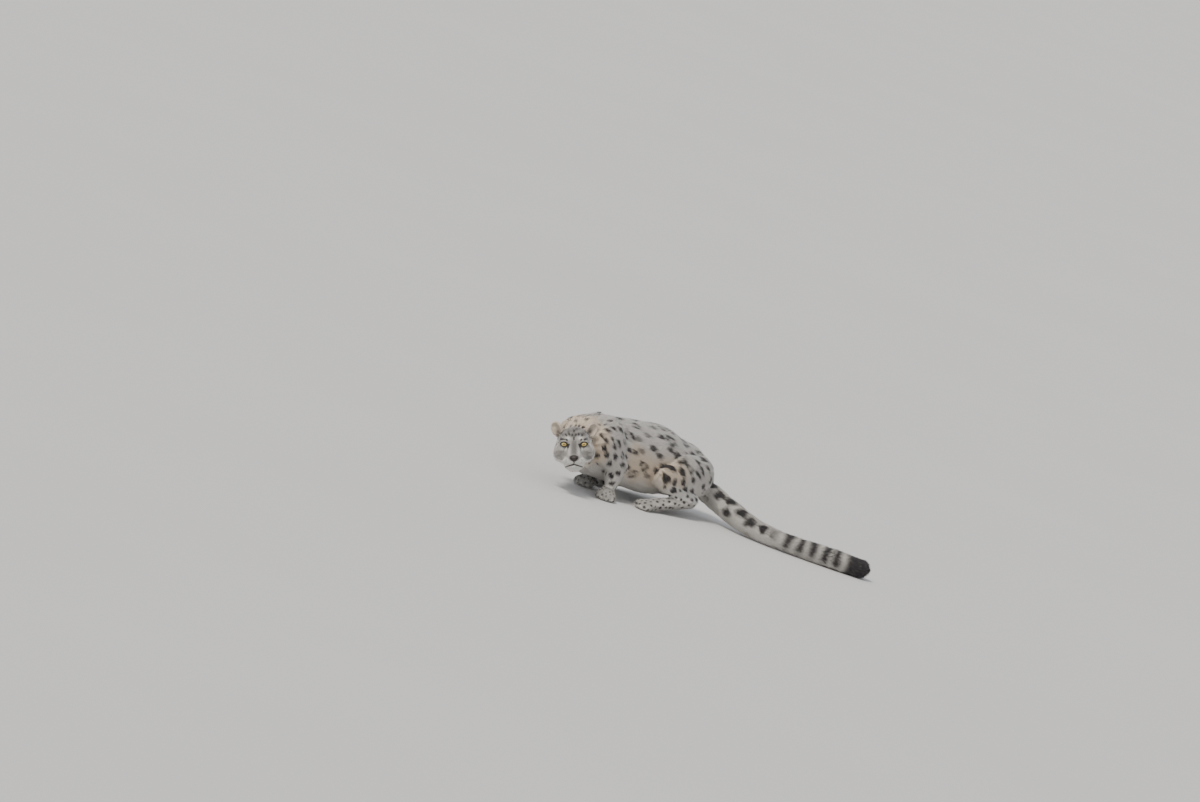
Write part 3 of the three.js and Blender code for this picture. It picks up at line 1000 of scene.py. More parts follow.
@dataclass
class Markings:
    """The coat's pattern: where it is dark, white and warm, with painted shade over the face and, in the
    warm, partly painted sunlight.
    """

    skin: Skin
    stance: Stance
    camera: PhotoCamera
    tail: TailRoute
    marks: list[Mark] = field(default_factory=list)
    tail_bands: tuple[float, ...] = (0.62, 0.685, 0.75, 0.825, 0.885)
    tail_black_from: float = 0.93
    band_width: float = 0.023
    ray: float = 3

    def build(self) -> None:
        """Lays out all marks."""
        tree = self.skin.tree()
        for seen in SHOULDER_MARKS + FLANK_MARKS + FOOT_MARKS + TAIL_MARKS:
            self.add_seen(tree, seen)
        axes = self.stance.head_axes()
        for mark in FACE_MARKS:
            for side in (LEFT, RIGHT):
                start = self.stance.head_point(mark.side * side, 260, mark.up)
                slope = math.radians(mark.lean)
                place, normal, _, _ = tree.ray_cast(start, -axes[1])
                if place is not None:
                    along = axes[0] * math.cos(slope) * side + axes[2] * math.sin(slope)
                    sizes = (mark.long, mark.wide, False, mark.strength)
                    self.add(np.array(place), np.array(normal), along, *sizes)
        seen_count = len(self.marks)
        self.strew()
        LOG.info("markings: %d seen, %d strewn", seen_count, len(self.marks) - seen_count)

    def add(
        self,
        middle: np.ndarray,
        normal: np.ndarray,
        along: np.ndarray,
        long: float,
        wide: float,
        hollow: bool,
        strength: float,
    ) -> None:
        """Adds one mark, with its long side laid into the surface.

        Args:
            middle: Its place in metres.
            normal: The surface's normal there.
            along: Roughly the way of its long side.
            long: Half its length in millimetres.
            wide: Half its width in millimetres.
            hollow: Whether it is a rosette.
            strength: How dark it is, up to 1.
        """
        flat = unit(along - normal * (along @ normal))
        self.marks.append(Mark(middle, normal, flat, long * MM, wide * MM, hollow, strength))

    def add_seen(self, tree: BVHTree, seen: SeenMark) -> None:
        """Adds a mark where the camera's ray through its pixel meets the skin.

        Args:
            tree: The skin's search tree.
            seen: The mark.
        """
        back = self.camera.axes()[2]
        place, normal, face, _ = tree.ray_cast(self.camera.place_of(*seen.pixel) + back * self.ray, -back)
        if place is None:
            return
        lie = self.skin.lies[self.skin.triangles[face][0]]
        normal = np.array(normal)
        turn = math.radians(seen.lean)
        along = lie * math.cos(turn) + np.cross(normal, lie) * math.sin(turn)
        self.add(np.array(place), normal, along, seen.long, seen.wide, seen.hollow, seen.strength)

    def strew(self) -> None:
        """Strews marks at random, clear of those already placed."""
        draw = np.random.default_rng(29)
        skin = self.skin
        kept = [(mark.middle, (mark.long + mark.wide) / 2) for mark in self.marks]
        places, faces, _ = scatter(skin.points, skin.triangles, 9 * MM, draw)
        body = self.stance.in_body(places)
        head = self.stance.in_head(places)
        order = draw.permutation(len(places))
        corners = skin.triangles[faces, 0]
        for i in order:
            region = REGIONS[skin.regions[corners[i]]]
            style = HIDDEN_MARKS.get(region)
            normal = skin.normals[corners[i]]
            if style is None or normal[2] < -0.45 or (region is Region.HEAD and head[i, 1] > -5):
                continue
            if region is Region.TORSO and body[i, 2] < 95:
                continue
            size = draw.uniform(0.75, 1.25)
            reach = (style.long + style.wide) / 2 * size * MM
            gap = (style.spacing - style.long) * MM
            middles = np.array([m for m, _ in kept])
            radii = np.array([r for _, r in kept])
            if (np.linalg.norm(middles - places[i], axis=1) < radii + reach + gap * 0.45).any():
                continue
            along = skin.lies[corners[i]] + draw.normal(0, 0.25, 3)
            hollow = draw.uniform() < style.hollow_share
            self.add(places[i], normal, along, style.long * size, style.wide * size, hollow, style.strength)
            kept.append((places[i], reach))

    def dark(self, places: np.ndarray) -> np.ndarray:
        """Says how dark the marks are at each place.

        Args:
            places: Points in metres.

        Returns:
            One value for each, from 0 to 1.
        """
        tree = search_tree(places)
        draw = np.random.default_rng(3)
        result = np.zeros(len(places))
        for mark in self.marks:
            turn = draw.uniform(0, 2 * math.pi)
            rows = np.array([found[1] for found in tree.find_range(mark.middle, mark.long * 1.5)], int)
            if not len(rows):
                continue
            arm = places[rows] - mark.middle
            u = arm @ mark.along / mark.long
            v = arm @ np.cross(mark.normal, mark.along) / mark.wide
            angle = np.arctan2(v, u)
            r = np.hypot(u, v) * (1 + 0.10 * np.sin(3 * angle + turn) + 0.07 * np.sin(5 * angle - 2 * turn))
            if mark.hollow:
                broken = smooth_step(-0.75, -0.35, np.sin(2 * angle + turn) + 0.4 * np.sin(5 * angle + turn))
                ring = (1 - smooth_step(0.24, 0.38, np.abs(r - 0.78))) * (0.25 + 0.75 * broken)
                value = np.maximum(ring, 0.28 * (r < 0.7))
            else:
                value = 1 - smooth_step(0.84, 1.1, r)
            result[rows] = np.maximum(result[rows], value * mark.strength)
        return result

    def colour(self, places: np.ndarray, normals: np.ndarray, regions: np.ndarray) -> np.ndarray:
        """Gives the coat's pattern at each place.

        Args:
            places: Points in metres.
            normals: The surface's normals there.
            regions: The region of each.

        Returns:
            Columns for dark (with painted shade on the face), white, the share along a tuft (0) and warm
            (partly painted sunlight).
        """
        body = self.stance.in_body(places)
        head = self.stance.in_head(places)
        wander = ripple(places, 0.09, 5)
        dark = self.dark(places)
        low = 1 - smooth_step(70, 150, body[:, 2] + 14 * wander)
        white = low * (normals[:, 2] < 0.35) * 0.8
        # The warm cream on the flanks and throat, below the top of the back, is partly the coat's own cream
        # and partly painted sunlight.
        flank = smooth_step(25, 95, body[:, 0]) * (1 - smooth_step(290, 380, body[:, 0]))
        throat = 1 - smooth_step(-95, -40, body[:, 0])
        high = 1 - smooth_step(185, 250, body[:, 2] + 12 * wander) * (1 - throat)
        warm = np.maximum(flank, throat) * high * smooth_step(60, 120, body[:, 2])
        pattern = np.stack([dark, white, np.zeros(len(places)), warm], axis=1)
        on_tail = within(regions, Region.TAIL)
        tail_rows = (rows[on_tail] for rows in (pattern, places, normals, wander))
        pattern[on_tail] = self.tail_pattern(*tail_rows)
        legs = within(regions, Region.FOREPAW, Region.HINDFOOT, Region.SHANK)
        pattern[legs, 1] = np.maximum(pattern[legs, 1], 0.45)
        pattern[legs, 3] *= 0.3
        on_head = within(regions, Region.HEAD) & (head[:, 1] > -70)
        pattern[on_head] = self.head_pattern(pattern[on_head], head[on_head])
        for lids in self.skin.lids:
            rim = 1 - smooth_step(0.2, 0.42, lids.share(head))
            pattern[:, 0] = np.maximum(pattern[:, 0], rim)
        on_ear = within(regions, Region.EAR)
        pattern[on_ear] = self.ear_pattern(head[on_ear], normals[on_ear])
        return np.clip(pattern, 0, 1)

    def tail_pattern(
        self,
        pattern: np.ndarray,
        places: np.ndarray,
        normals: np.ndarray,
        wander: np.ndarray,
    ) -> np.ndarray:
        """Lays bands, a black tip and a pale underside over the tail's pattern.

        Args:
            pattern: The tail's rows so far.
            places: Their points in metres.
            normals: The surface's normals there.
            wander: A wandering value for each.

        Returns:
            The rows as the tail has them.
        """
        share, _ = self.tail.follow(places)
        under = smooth_step(0.1, 0.8, -normals[:, 2])
        banded = np.zeros(len(places))
        for band in self.tail_bands:
            off = (share + 0.008 * wander - band) / self.band_width
            banded = np.maximum(banded, np.exp(-(off**6)))
        old = pattern[:, 0] * (1 - smooth_step(0.5, 0.6, share))
        black = smooth_step(self.tail_black_from - 0.015, self.tail_black_from + 0.015, share)
        dark = np.maximum(np.maximum(old, banded) * (1 - 0.8 * under), black)
        return np.stack([dark, 0.25 + 0.6 * under, pattern[:, 2], np.full(len(places), 0.1)], axis=1)

    def head_pattern(self, pattern: np.ndarray, face: np.ndarray) -> np.ndarray:
        """Lays the face's pale and dark parts, and painted shade over the front of the face, over the head's
        pattern.

        Args:
            pattern: The head's rows so far.
            face: Their points in head coordinates.

        Returns:
            The rows as the head has them.
        """
        beside, ahead = np.abs(face[:, 0]), face[:, 1] > 30
        chin = 1 - smooth_step(-58, -40, face[:, 2] - 0.25 * beside)
        above_eye, below_eye, beside_nose, pads, bridge = (
            patch.share(face) for patch in (ABOVE_EYE, BELOW_EYE, BESIDE_NOSE, MUZZLE_PAD, BRIDGE)
        )
        white = np.clip(0.1 + chin + pads + 0.8 * above_eye + 0.7 * below_eye + 0.6 * beside_nose, 0, 1)
        mottle = smooth_step(-0.5, 0.6, ripple(face * MM, 0.016, 9))
        warm = 0.06 + 0.35 * smooth_step(52, 74, beside)
        lips = 1 - smooth_step(1.6, 4.2, MOUTH.off_line(face))
        # The crown darkens for its dense grey mottle and also as painted shade over the forehead.
        crown = smooth_step(20, 44, face[:, 2]) * (0.5 + 0.3 * mottle) * (1 - above_eye)
        cheek = smooth_step(26, 60, beside) * (1 - smooth_step(30, 50, face[:, 2])) * (0.3 + 0.35 * mottle)
        from_nose = np.linalg.norm((face - NOSE_MIDDLE) / NOSE_RIM, axis=1)
        # plain covers the front of the face away from its pale patches, where painted shade is laid.
        plain = 1 - np.maximum.reduce([chin, pads, above_eye, below_eye, beside_nose])
        shades = [
            pattern[:, 0],
            lips * (face[:, 1] > 55),
            # The bridge darkens partly for its own grey and partly as painted shade.
            bridge * 0.78 * ahead,
            crown,
            cheek * (1 - below_eye) * ahead,
            0.7 * (1 - smooth_step(1.0, 1.35, from_nose)),
            # Painted shade: a general grey over the plain front of the face.
            0.42 * ahead * plain,
        ]
        return np.stack([np.maximum.reduce(shades), white, pattern[:, 2], warm], axis=1)

    def ear_pattern(self, ear: np.ndarray, normals: np.ndarray) -> np.ndarray:
        """Gives the ears' pattern: cream and dark-based inside, grey-brown behind.

        Args:
            ear: Points in head coordinates.
            normals: The surface's normals there.

        Returns:
            The pattern's rows.
        """
        inside = smooth_step(-0.1, 0.35, normals @ self.stance.head_axes()[1])
        dark = inside * (0.04 + 0.85 * EAR_BASE.share(ear)) + (1 - inside) * 0.5
        return np.stack([dark, 0.05 + 0.15 * inside, np.zeros(len(ear)), 0.4 + 0.6 * inside], axis=1)


class Value:
    """A shader socket that can be used in plain sums."""

    def __init__(self, graph: Graph, socket: bpy.types.NodeSocket) -> None:
        """Wraps one output socket of a graph."""
        self.graph = graph
        self.socket = socket

    def _with(self, operation: str, first: object, second: object, clamp: bool = False) -> Value:
        """Adds one Math node on two operands."""
        settings = {"operation": operation, "use_clamp": clamp}
        return self.graph.node("ShaderNodeMath", settings, {0: first, 1: second})

    def __add__(self, other: object) -> Value:
        """Adds."""
        return self._with("ADD", self, other)

    __radd__ = __add__

    def __mul__(self, other: object) -> Value:
        """Multiplies."""
        return self._with("MULTIPLY", self, other)

    __rmul__ = __mul__

    def __sub__(self, other: object) -> Value:
        """Subtracts."""
        return self._with("SUBTRACT", self, other)

    def __rsub__(self, other: object) -> Value:
        """Subtracts from."""
        return self._with("SUBTRACT", other, self)

    def clamped(self) -> Value:
        """Keeps the value between 0 and 1."""
        return self._with("ADD", self, 0.0, clamp=True)


@dataclass
class Graph:
    """The node tree of one finish."""

    name: str
    material: bpy.types.Material = field(init=False)

    def __post_init__(self) -> None:
        """Makes the material with its shader node."""
        self.material = bpy.data.materials.new(self.name)
        self.material.use_nodes = True
        self.shader = self.material.node_tree.nodes["Principled BSDF"]

    def node(self, kind: str, settings: dict[str, object], inputs: dict, output: int | str = 0) -> Value:
        """Adds a node.

        Args:
            kind: The node's type.
            settings: Its settings, set first.
            inputs: The values or links of its sockets.
            output: Which output to hand back.

        Returns:
            The chosen output.
        """
        made = self.material.node_tree.nodes.new(kind)
        for name, value in settings.items():
            setattr(made, name, value)
        for key, value in inputs.items():
            if isinstance(value, Value):
                self.material.node_tree.links.new(value.socket, made.inputs[key])
            else:
                made.inputs[key].default_value = value
        return Value(self, made.outputs[output])

    def mix(self, share: object, first: object, second: object) -> Value:
        """Mixes two colours."""
        return self.node("ShaderNodeMix", {"data_type": "RGBA"}, {0: share, 6: first, 7: second}, 2)

    def noise(self, where: Value, scale: float, detail: float = 2.0) -> Value:
        """Adds a noise pattern at a place."""
        return self.node("ShaderNodeTexNoise", {}, {"Vector": where, "Scale": scale, "Detail": detail})

    def place(self) -> Value:
        """Gives object coordinates."""
        return self.node("ShaderNodeTexCoord", {}, {}, "Object")

    def feed(self, socket: str, value: object) -> None:
        """Sets or links one socket of the shader.

        Args:
            socket: The socket's name.
            value: What it gets.
        """
        if isinstance(value, Value):
            self.material.node_tree.links.new(value.socket, self.shader.inputs[socket])
        else:
            self.shader.inputs[socket].default_value = value

    def bump(self, height: Value, strength: float, distance: float) -> None:
        """Feeds a height to the normal."""
        inputs = {"Height": height, "Strength": strength, "Distance": distance}
        self.feed("Normal", self.node("ShaderNodeBump", {}, inputs))


@dataclass(frozen=True)
class CoatFinish:
    """The hair's colours and sheen, as linear red, green and blue."""

    back: tuple[float, float, float, float] = (0.56, 0.53, 0.49, 1)
    # warm is partly the coat's own cream and partly painted sunlight on the flanks and throat.
    warm: tuple[float, float, float, float] = (0.70, 0.57, 0.43, 1)
    white: tuple[float, float, float, float] = (0.80, 0.77, 0.72, 1)
    dark: tuple[float, float, float, float] = (0.028, 0.025, 0.026, 1)
    roughness: float = 0.78
    sheen: float = 0.25

    def build(self, name: str, shaded_root: bool) -> bpy.types.Material:
        """Makes the material.

        Args:
            name: The material's name.
            shaded_root: Whether tufts darken towards their roots, partly for their grey underfur and partly
                as painted shade deep in the coat.

        Returns:
            The material.
        """
        graph = Graph(name)
        read = {"attribute_name": "coat"}
        pattern = graph.node("ShaderNodeAttribute", read, {}, "Color")
        warm = graph.node("ShaderNodeAttribute", read, {}, "Alpha")
        parts = graph.node("ShaderNodeSeparateColor", {}, {"Color": pattern}, "Red")
        split = parts.socket.node
        dark, white, along = (Value(graph, split.outputs[c]) for c in ("Red", "Green", "Blue"))
        where = graph.place()
        ticking = graph.noise(where, 190.0, 3.0)
        patches = graph.noise(where, 14.0, 2.0)
        base = graph.mix(warm, self.back, self.warm)
        base = graph.mix(white, base, self.white)
        shade = tuple(c * 0.55 for c in self.back[:3]) + (1,)
        base = graph.mix(((ticking - 0.45) * 1.1 + (patches - 0.5) * 0.5).clamped(), base, shade)
        # Painted shade together with the grey underfur: each tuft darkens towards its root.
        if shaded_root:
            root = tuple(c * 0.5 for c in self.back[:3]) + (1,)
            base = graph.mix((0.55 - along * 0.75).clamped(), base, root)
        base = graph.mix(dark, base, self.dark)
        graph.feed("Base Color", base)
        graph.feed("Roughness", self.roughness)
        graph.feed("Sheen Weight", self.sheen)
        graph.feed("Specular IOR Level", 0.25)
        if not shaded_root:
            graph.bump(ticking, 0.5, 0.0015)
        return graph.material


@dataclass
class Coat:
    """The coat: tufts that grow from the skin, lie along the body and reach the animal's outline."""

    skin: Skin
    markings: Markings
    stance: Stance
    tail: TailRoute
    patch: float = 0.003
    most_faces: int = 190_000
    seed: int = 7
    clumping: float = 0.22
    swirling: float = 0.10
    straying: float = 0.11
    buried: float = 0.6
    quick_spacing: float = 1.5
    roots: np.ndarray = field(init=False)
    root: np.ndarray = field(init=False)
    middle: np.ndarray = field(init=False)
    tip: np.ndarray = field(init=False)
    across: np.ndarray = field(init=False)
    normal: np.ndarray = field(init=False)
    lie: np.ndarray = field(init=False)
    width: np.ndarray = field(init=False)
    regions: np.ndarray = field(init=False)
    growing: np.ndarray = field(init=False)
    colours: list[np.ndarray] = field(init=False)

    LONG_FACES = ((0, 2, 1), (0, 3, 2), (0, 1, 3), (1, 2, 4), (2, 3, 4), (3, 1, 4))
    SHORT_FACES = ((0, 1, 3), (1, 2, 3), (2, 0, 3), (0, 2, 1))

    def build(self) -> list[bpy.types.Object]:
        """Grows the coat, piece by piece.

        Returns:
            The coat's pieces.
        """
        draw = np.random.default_rng(self.seed)
        spacing = self.skin.hair["spacing"][self.skin.triangles].mean(1) * MM
        roots, faces, shares = scatter(self.skin.points, self.skin.triangles, spacing, draw)
        corners = self.skin.triangles[faces]
        blended = {
            "normal": unit((self.skin.normals[corners] * shares[:, :, None]).sum(1)),
            "lie": unit((self.skin.lies[corners] * shares[:, :, None]).sum(1)),
        }
        for name, values in self.skin.hair.items():
            blended[name] = (values[corners] * shares).sum(1) * MM
        regions = self.skin.regions[corners[:, 0]]
        self.shape(draw, roots, regions, blended)
        return [self.piece(name, rows) for name, rows in self.groups().items()]

    def shape(self, draw: np.random.Generator, roots: np.ndarray, regions: np.ndarray, at: dict) -> None:
        """Works out every tuft's root, middle and tip.

        Args:
            draw: The source of random numbers.
            roots: Where the tufts grow.
            regions: The region of each root.
            at: The hair's measures at each root.
        """
        count = len(roots)
        normal, lie = at["normal"], at["lie"]
        clump = np.stack([ripple(roots, 0.028, 40 + i) for i in range(3)], axis=1)
        swirl = np.stack([ripple(roots, 0.16, 50 + i) for i in range(3)], axis=1)
        lie = lie + clump * self.clumping + swirl * self.swirling + draw.normal(0, self.straying, (count, 3))
        lie = unit(lie - normal * (lie * normal).sum(1, keepdims=True))
        length = at["length"] * draw.uniform(0.75, 1.2, count)
        rise = at["depth"] * draw.uniform(0.72, 1.08, count) + 0.4 * MM
        rise = np.minimum(rise, length * 0.9)
        run = np.sqrt(np.maximum(length**2 - rise**2, (0.3 * length) ** 2))
        self.root = roots - normal * self.buried * MM
        self.middle = roots + lie * (run * 0.34)[:, None] + normal * (rise * 0.62)[:, None]
        self.tip = roots + lie * run[:, None] + normal * rise[:, None]
        self.across = np.cross(normal, lie)
        self.normal = normal
        self.lie = lie
        self.width = at["width"] * draw.uniform(0.8, 1.2, count)
        self.regions = regions
        self.growing = self.clear_of_features(roots)
        vary = draw.uniform(0.9, 1.1, count)
        self.colours = []
        for share in (0.38, 0.95):
            colours = self.markings.colour(roots + lie * (run * share)[:, None], normal, regions)
            colours[:, 0] = np.clip(colours[:, 0] * vary, 0, 1)
            self.colours.append(colours)
        self.roots = roots

    def clear_of_features(self, roots: np.ndarray) -> np.ndarray:
        """Says which tufts stay clear of the eyes, the nose leather and the ground.

        Args:
            roots: Where the tufts grow.

        Returns:
            True for each tuft that is kept.
        """
        keep = np.ones(len(roots), bool)
        tips = self.stance.in_head(self.tip)
        feet = self.stance.in_head(roots)
        for lids in self.skin.lids:
            keep &= lids.share(feet) > 0.16
            keep &= lids.share(tips) > 0.10
            keep &= np.linalg.norm(feet - lids.eye(), axis=1) > lids.eyeball + 0.8
        for places in (tips, feet):
            keep &= np.linalg.norm((places - NOSE_MIDDLE) / NOSE_BARE, axis=1) > 1
            keep &= (MOUTH.off_line(places) > 1.4) | (places[:, 1] < 62)
        keep &= (self.normal[:, 2] > -0.85) | (roots[:, 2] > 0.012)
        return keep

    def unwrap(self, rows: np.ndarray) -> np.ndarray:
        """Unwraps the roots of one piece: each region round its own middle, or along the tail's line.

        Args:
            rows: The piece's tufts.

        Returns:
            Two columns from 0 to 1 for each root, every region and side in its own tile.
        """
        roots, regions = self.roots[rows], self.regions[rows]
        left = self.stance.in_body(roots)[:, 1] < 0
        kinds = [(region, side) for region in np.unique(regions) for side in (True, False)]
        kinds = [kind for kind in kinds if ((regions == kind[0]) & (left == kind[1])).any()]
        across = math.ceil(math.sqrt(len(kinds)))
        sheet = np.zeros((len(rows), 2))
        for tile, (region, side) in enumerate(kinds):
            own = (regions == region) & (left == side)
            if REGIONS[region] is Region.TAIL:
                share, headings = self.tail.follow(roots[own])
                points, _ = self.tail.sampled()
                arm = roots[own] - points[np.round(share * (len(points) - 1)).astype(int)]
                level = unit(np.cross(headings, [0, 0, 1]))
                angle = np.arctan2(arm[:, 2], (arm * level).sum(1))
                flat = np.stack([share, angle], axis=1)
            else:
                arm = roots[own] - roots[own].mean(0)
                angle = np.arctan2(arm[:, 2], arm[:, 0])
                flat = np.stack([angle, np.arcsin(np.clip(unit(arm)[:, 1], -1, 1))], axis=1)
            low, high = flat.min(0), flat.max(0)
            flat = (flat - low) / np.maximum(high - low, 1e-6) * (1 - self.patch * across)
            sheet[own] = (flat + [tile % across, tile // across]) / across
        return sheet

    def groups(self) -> dict[str, np.ndarray]:
        """Shares the tufts out among pieces small enough to keep whole.

        Returns:
            The rows of each piece, by its name.
        """
        body = self.stance.in_body(self.roots)
        plans = {
            "coat_head": (Region.HEAD, Region.EAR),
            "coat_neck": (Region.NECK, Region.SHOULDER),
            "coat_torso": (Region.TORSO,),
            "coat_thigh": (Region.THIGH, Region.SHANK),
            "coat_forearm": (Region.FOREARM,),
            "coat_feet": (Region.FOREPAW, Region.HINDFOOT),
            "coat_tail": (Region.TAIL,),
        }
        result = {}
        for name, members in plans.items():
            chosen = self.growing & within(self.regions, *members)
            each = len(self.SHORT_FACES if members[0] in SHORT_HAIRED else self.LONG_FACES)
            rows = np.nonzero(chosen)[0]
            parts = math.ceil(len(rows) * each / self.most_faces)
            key = body[rows, 1] + body[rows, 0] * 1e-3
            if name == "coat_tail":
                key = self.tail.follow(self.roots[rows])[0]
            order = rows[np.argsort(key, kind="stable")]
            for i, part in enumerate(np.array_split(order, parts)):
                result[f"{name}_{i + 1}" if parts > 1 else name] = part
        return result

    def piece(self, name: str, rows: np.ndarray) -> bpy.types.Object:
        """Makes one piece of the coat.

        Args:
            name: The piece's name.
            rows: Which tufts it holds.

        Returns:
            The piece.
        """
        short = within(self.regions[rows], *SHORT_HAIRED)
        patches = self.unwrap(rows)
        low = self.tufts(rows[short], patches[short], True)
        tall = self.tufts(rows[~short], patches[~short], False)
        tall["faces"] += len(low["points"])
        names = ("points", "faces", "colours", "sheet", "softened")
        points, faces, colours, sheet, softened = (np.concatenate([low[n], tall[n]]) for n in names)
        points[:, 2] = np.maximum(points[:, 2], 0.1 * MM)
        mesh = mesh_of(name, points, faces)
        layer = mesh.uv_layers.new(name="OFBake")
        layer.data.foreach_set("uv", sheet[faces.ravel()].ravel())
        attribute = mesh.color_attributes.new("coat", "FLOAT_COLOR", "POINT")
        attribute.data.foreach_set("color", colours.ravel())
        # The feet's hair points at the viewer, where the body's softened normals would turn it dark.
        if name != "coat_feet":
            mesh.normals_split_custom_set_from_vertices(softened.tolist())
        made = placed(name, mesh)
        mesh.materials.append(bpy.data.materials["coat_hair"])
        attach(made, "root")
        LOG.info("%s: %d tufts, %d faces", name, len(rows), len(faces))
        return made

    def tufts(self, rows: np.ndarray, patches: np.ndarray, short: bool) -> dict[str, np.ndarray]:
        """Builds the meshes of some tufts, three-sided and tapering to a tip.

        Args:
            rows: Which tufts.
            patches: Each one's corner of the unwrapped sheet.
            short: Whether they are short and straight, or long, bent and tapering both ways.

        Returns:
            Their points, faces, colours, sheet places and softened normals.
        """
        across, normal, lie = self.across[rows], self.normal[rows], self.lie[rows]
        half = (self.width[rows] / 2)[:, None]
        thick = unit(normal - lie * 0.5) * half * 0.5
        widest = self.root[rows] if short else self.middle[rows]
        ring = [widest - across * half, widest + across * half, widest + thick]
        columns = [*ring, self.tip[rows]] if short else [self.root[rows], *ring, self.tip[rows]]
        points = np.stack(columns, axis=1)
        shape = self.SHORT_FACES if short else self.LONG_FACES
        step = points.shape[1]
        faces = (np.array(shape)[None] + (np.arange(len(rows)) * step)[:, None, None]).reshape(-1, 3)
        near, far = (colours[rows] for colours in self.colours)
        colours = np.stack([near] * (step - 1) + [far], axis=1)
        # The share along each tuft, from root to tip, sets how far the painted root shade and grey underfur
        # reach.
        colours[:, :, 2] = [0.45, 0.45, 0.5, 1.0] if short else [0.0, 0.5, 0.5, 0.55, 1.0]
        local = [[0.5, 0], [0, 0.4], [1, 0.4], [0.5, 0.5], [0.5, 1]]
        if short:
            local = [[0, 0.2], [1, 0.2], [0.5, 0], [0.5, 1]]
        sheet = patches[:, None, :] + np.array(local)[None] * self.patch
        sides = np.array([-1, 1, 0, 0] if short else [0, -1, 1, 0, 0])[None, :, None]
        softened = unit(normal[:, None, :] + across[:, None, :] * sides * 0.55 + lie[:, None, :] * 0.15)
        return {
            "points": points.reshape(-1, 3),
            "faces": faces,
            "colours": colours.reshape(-1, 4),
            "sheet": sheet.reshape(-1, 2),
            "softened": softened.reshape(-1, 3),
        }


@dataclass(frozen=True)
class EyeFinish:
    """A big cat's eye: an amber iris round a black pupil, under a wet cornea."""

    pupil: float = 2.8
    iris: float = 10.6
    iris_inner: tuple[float, float, float, float] = (0.62, 0.42, 0.10, 1)
    iris_outer: tuple[float, float, float, float] = (0.42, 0.36, 0.12, 1)
    rim: tuple[float, float, float, float] = (0.012, 0.010, 0.009, 1)

    def build(self, name: str, middle: np.ndarray, axes: np.ndarray) -> bpy.types.Material:
        """Makes the material of one eye.

        Args:
            name: The material's name.
            middle: The eyeball's middle in metres.
            axes: The head's axes.

        Returns:
            The material.
        """
        graph = Graph(name)
        place = graph.place()
        arm = graph.node("ShaderNodeVectorMath", {"operation": "SUBTRACT"}, {0: place, 1: tuple(middle)})
        dot = {"operation": "DOT_PRODUCT"}
        across = graph.node("ShaderNodeVectorMath", dot, {0: arm, 1: tuple(axes[0])}, "Value")
        upward = graph.node("ShaderNodeVectorMath", dot, {0: arm, 1: tuple(axes[2])}, "Value")
        squares = across * across + upward * upward
        off = graph.node("ShaderNodeMath", {"operation": "SQRT"}, {0: squares}) * (1 / MM)
        streaks = graph.noise(place, 900.0, 2.0)
        spread = ((off - self.pupil) * (1 / (self.iris - self.pupil)) + (streaks - 0.5) * 0.5).clamped()
        colour = graph.mix(spread, self.iris_inner, self.iris_outer)
        colour = graph.mix(((off - self.iris + 1.2) * 1.2).clamped(), colour, self.rim)
        colour = graph.mix(((self.pupil - off) * 3.0 + 0.5).clamped(), colour, (0.003, 0.003, 0.003, 1))
        graph.feed("Base Color", colour)
        graph.feed("Roughness", 0.12)
        graph.feed("Coat Weight", 1.0)
        graph.feed("Coat Roughness", 0.03)
        return graph.material


@dataclass
class Eyes:
    """The two eyeballs, each with a raised cornea."""

    stance: Stance
    finish: EyeFinish
    radius: float = 16.2
    cornea: float = 1.3
    cornea_angle: float = 42

    def build(self) -> list[bpy.types.Object]:
        """Makes both eyes.

        Returns:
            The two pieces.
        """
        return [self.one("left"), self.one("right")]

    def one(self, side: str) -> bpy.types.Object:
        """Makes one eye in its packed place.

        Args:
            side: left or right.

        Returns:
            The piece.
        """
        low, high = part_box(f"eye_{side}")
        middle = np.array((low + high) / 2)
        bpy.ops.object.select_all(action="DESELECT")
        around = {"segments": 48, "ring_count": 32}
        bpy.ops.mesh.primitive_uv_sphere_add(radius=self.radius * MM, location=(0, 0, 0), **around)
        ball = bpy.context.object
        ball.name = f"eyeball_{side}"
        axes = self.stance.head_axes()
        for vertex in ball.data.vertices:
            tilt = math.degrees(vertex.co.angle(Vector((0, 0, 1)), 0.0))
            lift = max(0.0, math.cos(math.radians(min(tilt / self.cornea_angle, 1.0) * 90)))
            vertex.co *= 1 + self.cornea / self.radius * lift**1.4
        turn = Matrix((axes[0], -axes[2], axes[1])).transposed().to_4x4()
        ball.data.transform(Matrix.Translation(middle) @ turn)
        ball.data.polygons.foreach_set("use_smooth", [True] * len(ball.data.polygons))
        ball.data.materials.append(self.finish.build(f"eye_{side}", middle, axes))
        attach(ball, "root")
        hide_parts(f"eye_{side}")
        LOG.info("%s: %d faces", ball.name, len(ball.data.polygons))
        return ball


